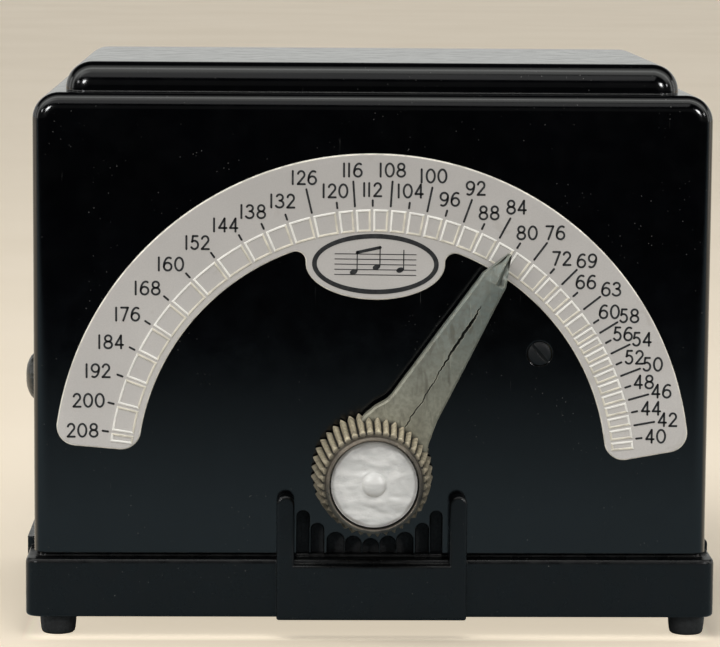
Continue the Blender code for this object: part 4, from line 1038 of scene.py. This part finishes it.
def make_barrel(worn, root_shade):
    """The finger barrel: worn pointed teeth that run out in little triangles at the front."""
    random.seed(7)
    low, high = span("pointer_arm")
    front, rear = low.y, high.y
    per_tooth = 8
    count = TEETH * per_tooth
    chips = [random.uniform(-0.12, 0.08) for _ in range(TEETH)]
    leans = [random.uniform(-0.25, 0.25) for _ in range(TEETH)]
    depth = TOOTH_DEPTH
    levels = ((rear, BARREL_R_REAR, depth), (rear - 4, BARREL_R_REAR - 0.35, depth),
              (front + 6, BARREL_R_FRONT + 0.4, depth), (front + 2.4, BARREL_R_FRONT, depth),
              (front + 1.5, BARREL_R_FRONT - 0.08, depth - 0.02),
              (front + 0.8, BARREL_R_FRONT - 0.3, depth - 0.26),
              (front + 0.3, BARREL_R_FRONT - 0.62, depth - 0.6),
              (front, BARREL_R_FRONT - 0.95, 0.12))
    rings = []
    for y, radius, drop in levels:
        root = radius - drop
        ring = []
        for i in range(count):
            tooth = i // per_tooth
            share = (i % per_tooth) / per_tooth
            reach = root + (drop + chips[tooth] * drop / depth) * tooth_reach(share)
            lean = leans[tooth] * (y - rear) / (front - rear) * 0.01
            a = 2 * pi * (i / count) + lean
            ring.append((DIAL_X + reach * cos(a), y, DIAL_Z + reach * sin(a)))
        rings.append(ring)
    for y, radius in ((front, 9.55), (front + 0.15, 9.4), (front + 1.5, 9.4), (front + 1.5, 3.3),
                      (rear, 3.3)):
        rings.append(knob_ring(radius, y, count))
    rings.append(rings[0])
    # Painted shade: the faces in each tooth's root take the dark copy of the metal.
    roots = [1, 0, 0, 0, 0, 0, 0, 1] * TEETH
    barrel = Shape().loft(rings, caps=(False, False), ring_slots=roots).build("finger_barrel")
    return piece(barrel, ["pointer_arm"], [worn, root_shade], "pointer",
                 sharp_deg=28)


def make_knob(bronze, foil):
    base = span("knob_bezel")[1].y - 1.1
    ring_profile = [(8.92, 2.9), (8.95, 3.18), (9.06, 3.3), (9.24, 3.26), (9.4, 3.02),
                    (9.6, 2.86), (9.76, 2.6), (9.82, 2.2), (9.85, 0.35), (9.75, 0.22), (9.2, 0.2),
                    (9.2, -1.1), (8.92, -1.1)]
    ring = turned(ring_profile, (DIAL_X, base, DIAL_Z), (0, -1, 0), 128)
    piece(ring.build("bezel_ring"), ["knob_bezel"], [bronze], "pointer")
    steps, edge = 96, 8.62
    rings = [knob_ring(0.02, base - 2.98, steps)]
    for step in range(1, 43):
        r = edge * step / 42
        dome = 0.95 * sqrt(max(0.0, 1 - (r / 2.35) ** 2)) if r < 2.35 else 0.0
        sheet = 2.02 + dome - 0.3 * smooth(r, 7.9, edge)
        loop = []
        for x, _, z in knob_ring(r, 0, steps):
            x, z = x - DIAL_X, z - DIAL_Z
            calm = smooth(r, 2.2, 3.4) * (1 - smooth(r, 7.6, 8.5))
            ripple = 0.36 * noise.noise(Vector((x * 0.16, z * 0.42, 3.0)))
            ripple += 0.17 * noise.noise(Vector((x * 0.5 + z * 0.2, z * 0.9, 8.0)))
            loop.append((DIAL_X + x, base - sheet - ripple * calm, DIAL_Z + z))
        rings.append(loop)
    rings.append(knob_ring(edge, base - 1.3, steps))
    disc = Shape().loft(rings).build("foil_disc")
    piece(disc, ["knob_disc"], [foil], "pointer", sharp_deg=45)


# ---------------------------------------------------------------- switch, grommet, cord, plug

def make_switch_knob(material):
    (low, high), centre = span("switch_knob"), middle("switch_knob")
    radius = (high.z - low.z) / 2
    base, height = high.x, high.x - low.x

    def flutes(angle, r, h):
        return 0.09 * cos(24 * angle) * smooth(r, radius - 1.4, radius - 0.2) if h < 3.2 else 0.0

    profile = [(0, height), (1.6, height - 0.03), (2.6, height - 0.2), (3.5, height - 0.55),
               (4.3, height - 1.0), (4.9, height - 1.6), (5.25, height - 2.2), (5.4, 1.3),
               (radius - 0.09, 0.5), (radius - 0.2, 0.3), (5.0, 0.3), (5.0, 2.1), (1.8, 2.1),
               (1.8, 3.0), (0, 3.0)]
    knob = turned(profile, (base, centre.y, centre.z), (-1, 0, 0), 144, wobble=flutes)
    obj = knob.build("switch_button")
    groove = Shape()
    mark = [(base - height - 1, centre.y - 0.35), (base - height + 0.28, centre.y - 0.28),
            (base - height + 0.28, centre.y + 0.28), (base - height - 1, centre.y + 0.35)]
    groove.loft([[(x, y, z) for x, y in mark] for z in (centre.z + 0.8, centre.z + radius + 1)])
    cut(obj, groove)
    return piece(obj, ["switch_knob"], [material], "switch")


def make_grommet(material):
    spot, board = middle("cord_grommet"), span("back_cover")[0].y
    profile = [(2.7, -4.2), (5.2, -4.2), (5.4, -4.0), (5.4, -0.4), (5.3, -0.3), (4.0, -0.3),
               (4.0, 3.3), (5.3, 3.3), (5.45, 3.5), (5.4, 4.1), (5.1, 4.55), (4.6, 4.75),
               (3.4, 4.75), (2.95, 4.6), (2.7, 4.3)]
    ring = turned(profile, (spot.x, board, spot.z), (0, 1, 0), 64)
    return piece(ring.build("cord_bush"), ["cord_grommet"], [material])


def bezier(p0, p1, p2, p3, steps):
    points = []
    for i in range(steps):
        t = i / steps
        weights = ((1 - t) ** 3, 3 * t * (1 - t) ** 2, 3 * t * t * (1 - t), t ** 3)
        points.append(sum((Vector(p) * w for p, w in zip((p0, p1, p2, p3), weights)),
                          Vector((0, 0, 0))))
    return points


COIL_Y, COIL_A, COIL_B, COIL_TURNS, COIL_PITCH = 126.0, 52.0, 24.0, 2.45, 5.6


def coil_point(turns):
    angle = radians(-30) + 2 * pi * turns
    height = CORD_R + 0.1 + COIL_PITCH * max(0.0, COIL_TURNS - 0.25 - turns)
    return Vector((COIL_A * cos(angle), COIL_Y + COIL_B * sin(angle), height))


def cord_path():
    """Out through the board, down to a flat coil on the floor, and in to the plug."""
    hole_at, plug = middle("cord_grommet"), span("mains_plug")
    leave = Vector((hole_at.x, 91.0, hole_at.z))
    first, second = coil_point(0), coil_point(0.02)
    heading = (second - first).normalized()
    path = [Vector((hole_at.x, 76.0, hole_at.z)), Vector((hole_at.x, 84.0, hole_at.z))]
    path += bezier(leave, leave + Vector((0, 13, 0)), first - heading * 13, first, 26)
    steps = 170
    path += [coil_point(COIL_TURNS * i / steps) for i in range(steps + 1)]
    last, before = coil_point(COIL_TURNS), coil_point(COIL_TURNS - 0.02)
    heading = (last - before).normalized()
    end = Vector((plug[0].x - 1.0, COIL_Y, (plug[0].z + plug[1].z) / 2))
    path += bezier(last, last + heading * 14, end - Vector((16, 0, 0)), end, 26)[1:]
    return path + [end]


def make_cord(material):
    """A round rubber cord, swept without twist, with a slightly uneven thickness."""
    path = cord_path()
    sides = 20
    rings = []
    side = Vector((0, 0, 1))
    for i, here in enumerate(path):
        along = (path[min(i + 1, len(path) - 1)] - path[max(i - 1, 0)]).normalized()
        side = (side - along * side.dot(along)).normalized()
        other = along.cross(side)
        radius = CORD_R - 0.03 + 0.03 * noise.noise(Vector((i * 0.35, 0, 0)))
        rings.append([here + side * radius * cos(2 * pi * k / sides)
                      + other * radius * sin(2 * pi * k / sides) for k in range(sides)])
    cord = Shape().loft(rings).build("rubber_cord")
    return piece(cord, ["mains_cord"], [material], sharp_deg=60)


def make_plug(material, brass):
    """A moulded plug with a ribbed grip, and two bright blades."""
    (low, high), centre = span("mains_plug"), middle("mains_plug")
    blade_length = 15.0
    face = high.x - blade_length
    half = (high.z - low.z) / 2
    levels = [(0.0, 0.45, 1.5), (0.4, 0.52, 2.0), (2.5, 0.58, 3.0), (4.5, 0.78, 3.5),
              (6.5, 0.93, 4.0)]
    for rib in range(5):
        start = 7.4 + 2.0 * rib
        levels += [(start, 0.93, 3.6), (start + 0.4, 0.87, 3.4), (start + 0.9, 0.87, 3.4),
                   (start + 1.3, 0.93, 3.6)]
    levels += [(18.4, 0.99, 3.4), (21.2, 1.0, 3.0), (21.7, 0.985, 2.8), (22.0, 0.95, 2.6)]
    rings = []
    for x, scale, corner in levels:
        r = half * scale
        section = rounded_rectangle(centre.y - r, centre.z - r, centre.y + r, centre.z + r,
                                    min(corner, r - 0.1), 8)
        rings.append([(low.x + x, y, z) for y, z in section])
    plug = Shape().loft(rings).build("plug_body")
    piece(plug, ["mains_plug"], [material], sharp_deg=40)
    blades = Shape()
    for gap in (-6.35, 6.35):
        rings = []
        for x, trim in ((face - 1, 0.0), (high.x - 1.4, 0.0), (high.x - 0.4, 0.25),
                        (high.x, 0.55)):
            section = rounded_rectangle(centre.y + gap - 0.75 + trim * 0.5, centre.z - 3.1 + trim,
                                        centre.y + gap + 0.75 - trim * 0.5,
                                        centre.z + 3.1 - trim, 0.2, 3)
            rings.append([(x, y, z) for y, z in section])
        blades.loft(rings)
    return piece(blades.build("plug_blades"), ["mains_plug"], [brass])


# ---------------------------------------------------------------- build everything

tray_black = phenolic("tray_moulding_worn", (0.0006, 0.0009, 0.0013), 0.28, 0.7, 0.35, 0.36)
case_black = phenolic("case_moulding_polished", (0.0002, 0.0003, 0.0007), 0.12, 0.5)
screw_black = phenolic("screw_blackened", (0.002, 0.0025, 0.003), 0.5, 0.5, 0.2, 0.3)
slot_shade = dull_solid("baffle_dark_grey", (0.009, 0.011, 0.013), 0.7)
dial_grey = etched_sheet("dial_face", (0.635, 0.61, 0.58))
dial_edge = bright_edge("dial_edge", (0.9, 0.86, 0.76), 0.1)
# The pocket rims' colours are a painted glint, in a lit copy and a shaded, yellower copy.
pocket_white = bright_edge("pocket_white", (1.0, 0.99, 0.93), 0.0, 0.9)
pocket_cream = bright_edge("pocket_cream", (0.83, 0.79, 0.67), 0.0, 0.78)
ink = black_ink("dial_ink")
arm_grey = cast_metal("pointer_grey_green", (0.34, 0.33, 0.255), (0.23, 0.215, 0.16), 0.42, 0.25,
                      0.6, (0.17, 0.195, 0.175), ARM_TONE)
# The teeth's dark brown low down and beige higher up are painted shade and painted light.
teeth_beige = cast_metal("barrel_beige", (0.17, 0.145, 0.1), (0.1, 0.085, 0.06), 0.5, 0.15, 0.5,
                         (0.68, 0.6, 0.43), TEETH_SHADE_HEIGHTS)
# Painted shade for the teeth's roots: the same cast metal, much darker.
teeth_root_shade = cast_metal("barrel_roots", (0.05, 0.042, 0.03), (0.025, 0.022, 0.018), 0.6, 0.2)
bronze = cast_metal("bezel_bronze_worn", (0.2, 0.168, 0.128), (0.07, 0.06, 0.05), 0.34, 0.6,
                    0.4)
foil = crinkled_foil("foil_white", (0.82, 0.82, 0.795))
board = dull_solid("cover_board_pressed", (0.022, 0.019, 0.016), 0.6, 0.7)
olive = phenolic("switch_olive", (0.03, 0.032, 0.028), 0.3, 0.5)
blade_brass = plain_metal("blade_brass", (0.65, 0.5, 0.25), 0.28, (0.1, 1.0, 1.0))

frame["nodes"]["grille_baffle"].data.materials[0] = slot_shade
make_tray(tray_black)
make_case(case_black)
make_back_cover(board)
make_feet(SLOT_FINISH["foot_rubber"])
make_screws(SLOT_FINISH["screw_steel"], screw_black)
make_dial_plate(dial_grey, dial_edge)
make_dial_print(ink)
make_pockets(pocket_white, pocket_cream)
make_badge(ink)
make_pointer_arm(arm_grey)
make_barrel(teeth_beige, teeth_root_shade)
make_knob(bronze, foil)
make_switch_knob(olive)
make_grommet(SLOT_FINISH["foot_rubber"])
make_cord(SLOT_FINISH["cord_rubber"])
make_plug(SLOT_FINISH["plug_moulding"], blade_brass)


# ---------------------------------------------------------------- stage, light and camera

def make_floor():
    """A plain pale floor; reflections and bounced light see a darker one than the camera does.

    In the narrow gap under the tray's front the floor glows for the camera alone: painted light
    that takes away the shade there.
    """
    finish = Finish("pale_floor", (0.95, 0.83, 0.66))
    finish.layer(finish.patches(0.3, 0.7, 160, 3), (0.99, 0.87, 0.7))
    position = finish.node("NewGeometry").outputs["Position"]
    place = finish.node("SeparateXYZ", {"Vector": position}).outputs
    rays = finish.node("LightPath").outputs
    front = ORIGIN.y
    finish.layer(rays["Is Diffuse Ray"], (0.36, 0.32, 0.28))
    # Painted reflection: mirror rays see the floor just in front darker and bluish.
    near = finish.ramp(place["Y"], front - 0.42, front - 0.13, 0.002, 0.47)
    blue = finish.node("CombineColor", {"Red": finish.times(near, 0.68),
                                        "Green": finish.times(near, 0.9), "Blue": near})
    in_front = finish.ramp(place["Y"], front + 0.06, front)
    finish.layer(finish.times(rays["Is Glossy Ray"], in_front), blue.outputs["Color"])
    # Painted light: the floor glows for camera rays in the gap under the tray, where shade would
    # fall.
    under = finish.times(finish.ramp(place["Y"], front - 0.002, front + 0.004),
                         finish.ramp(place["Y"], front + 0.07, front + 0.04))
    from_middle = finish.maths('ABSOLUTE', finish.maths('SUBTRACT', place["X"], ORIGIN.x), 0.0)
    under = finish.times(under, finish.ramp(from_middle, 0.071, 0.066))
    finish.set(Base_Color=finish.colour, Roughness=0.9, Specular_IOR_Level=0.1,
               Emission_Color=(0.8, 0.7, 0.55),
               Emission_Strength=finish.times(finish.times(under, rays["Is Camera Ray"]), 0.8))
    size = 6.0
    mesh = bpy.data.meshes.new("floor")
    mesh.from_pydata([(-size, -size, 0), (size, -size, 0), (size, size, 0), (-size, size, 0)],
                     [], [(0, 1, 2, 3)])
    floor = bpy.data.objects.new("floor", mesh)
    bpy.context.scene.collection.objects.link(floor)
    mesh.materials.append(finish.material)


def make_world():
    """Soft even light; mirror rays see a low glow round the back and a bright ceiling in front."""
    world = bpy.data.worlds.new("studio")
    bpy.context.scene.world = world
    world.use_nodes = True
    sky = Nodes(world.node_tree)
    sky.tree.nodes.clear()
    way = sky.node("SeparateXYZ", {0: sky.node("TexCoord").outputs["Generated"]}).outputs
    glow = sky.times(sky.ramp(way["Z"], 0.3, 0.42, 0.66, 0.01),
                     sky.ramp(way["Y"], -0.3, 0.1, 0.12, 1.0))
    ceiling = sky.times(sky.ramp(way["Y"], 0.38, 0.0, 0.0, 1.5), sky.ramp(way["Y"], -0.5, -0.36))
    ceiling = sky.times(ceiling, sky.ramp(way["Z"], 0.3, 0.6))
    lamp = sky.times(sky.ramp(way["Y"], 0.05, -0.02, 0.0, 1.8), sky.ramp(way["Y"], -0.15, -0.09))
    strength = sky.maths('ADD', glow, sky.maths('ADD', ceiling, lamp))
    mirrored = sky.node("Background", {"Color": (0.99, 1.0, 0.965), "Strength": strength})
    soft = sky.node("Background", {"Color": (0.98, 0.99, 1.0), "Strength": 0.62})
    glossy = sky.node("LightPath").outputs["Is Glossy Ray"]
    mixed = sky.node("MixShader", {0: glossy, 1: soft.outputs[0], 2: mirrored.outputs[0]})
    sky.node("OutputWorld", {"Surface": mixed.outputs[0]})


def make_light(name, place, target, width, height, radiance, colour=(1.0, 1.0, 1.0),
               seen_in_mirrors=True, lights_surfaces=True):
    """A soft box of a given brightness, aimed at a target; places are in millimetres."""
    light = bpy.data.lights.new(name, 'AREA')
    light.shape = 'RECTANGLE'
    light.size, light.size_y = width * MM, height * MM
    light.energy = radiance * pi * light.size * light.size_y
    light.color = colour
    obj = bpy.data.objects.new(name, light)
    obj.location = at(*place)
    obj.rotation_mode = 'QUATERNION'
    obj.rotation_quaternion = (at(*target) - at(*place)).to_track_quat('-Z', 'Y')
    obj.visible_glossy, obj.visible_diffuse = seen_in_mirrors, lights_surfaces
    bpy.context.scene.collection.objects.link(obj)
    return obj


def make_camera():
    """The photograph's viewpoint: low and a little to the left, with a long lens."""
    camera = bpy.data.cameras.new("camera")
    camera.lens, camera.sensor_width = 167.06, 36.0
    camera.clip_start, camera.clip_end = 0.05, 50.0
    obj = bpy.data.objects.new("camera", camera)
    right = Vector((0.99966, -0.02490, 0.00714))
    up = Vector((-0.00397, 0.12521, 0.99212))
    forward = Vector((0.02559, 0.99182, -0.12507))
    turn_matrix = Matrix((right, up, -forward)).transposed()
    obj.rotation_mode = 'QUATERNION'
    obj.rotation_quaternion = turn_matrix.to_quaternion()
    obj.location = at(-19.66, -669.43, 149.47)
    bpy.context.scene.collection.objects.link(obj)
    bpy.context.scene.camera = obj


make_floor()
make_world()
make_light("key", (-230, -600, 960), (0, 0, 50), 1300, 520, 3.9, (1.0, 0.985, 0.955),
           seen_in_mirrors=False)
make_light("key_mirrored", (-300, -600, 960), (0, 0, 50), 1300, 520, 0.75, lights_surfaces=False)
make_light("left_strip", (-900, 300, 190), (0, 30, 60), 80, 620, 1.6)
make_light("right_strip", (950, 290, 190), (0, 30, 60), 90, 620, 1.8)
for side, across, depth in (("left", -381, -638), ("right", 417, -621)):
    make_light(f"lamp_{side}", (across, depth, 346), (across * 0.17, 0, 105), 130, 130, 34.0,
               lights_surfaces=False)
    make_light(f"small_lamp_{side}", (across * 1.65, depth * 0.58, 344), (across * 0.17, 0, 105),
               70, 70, 16.0, lights_surfaces=False)
make_camera()
bpy.context.scene.view_settings.view_transform = 'Standard'
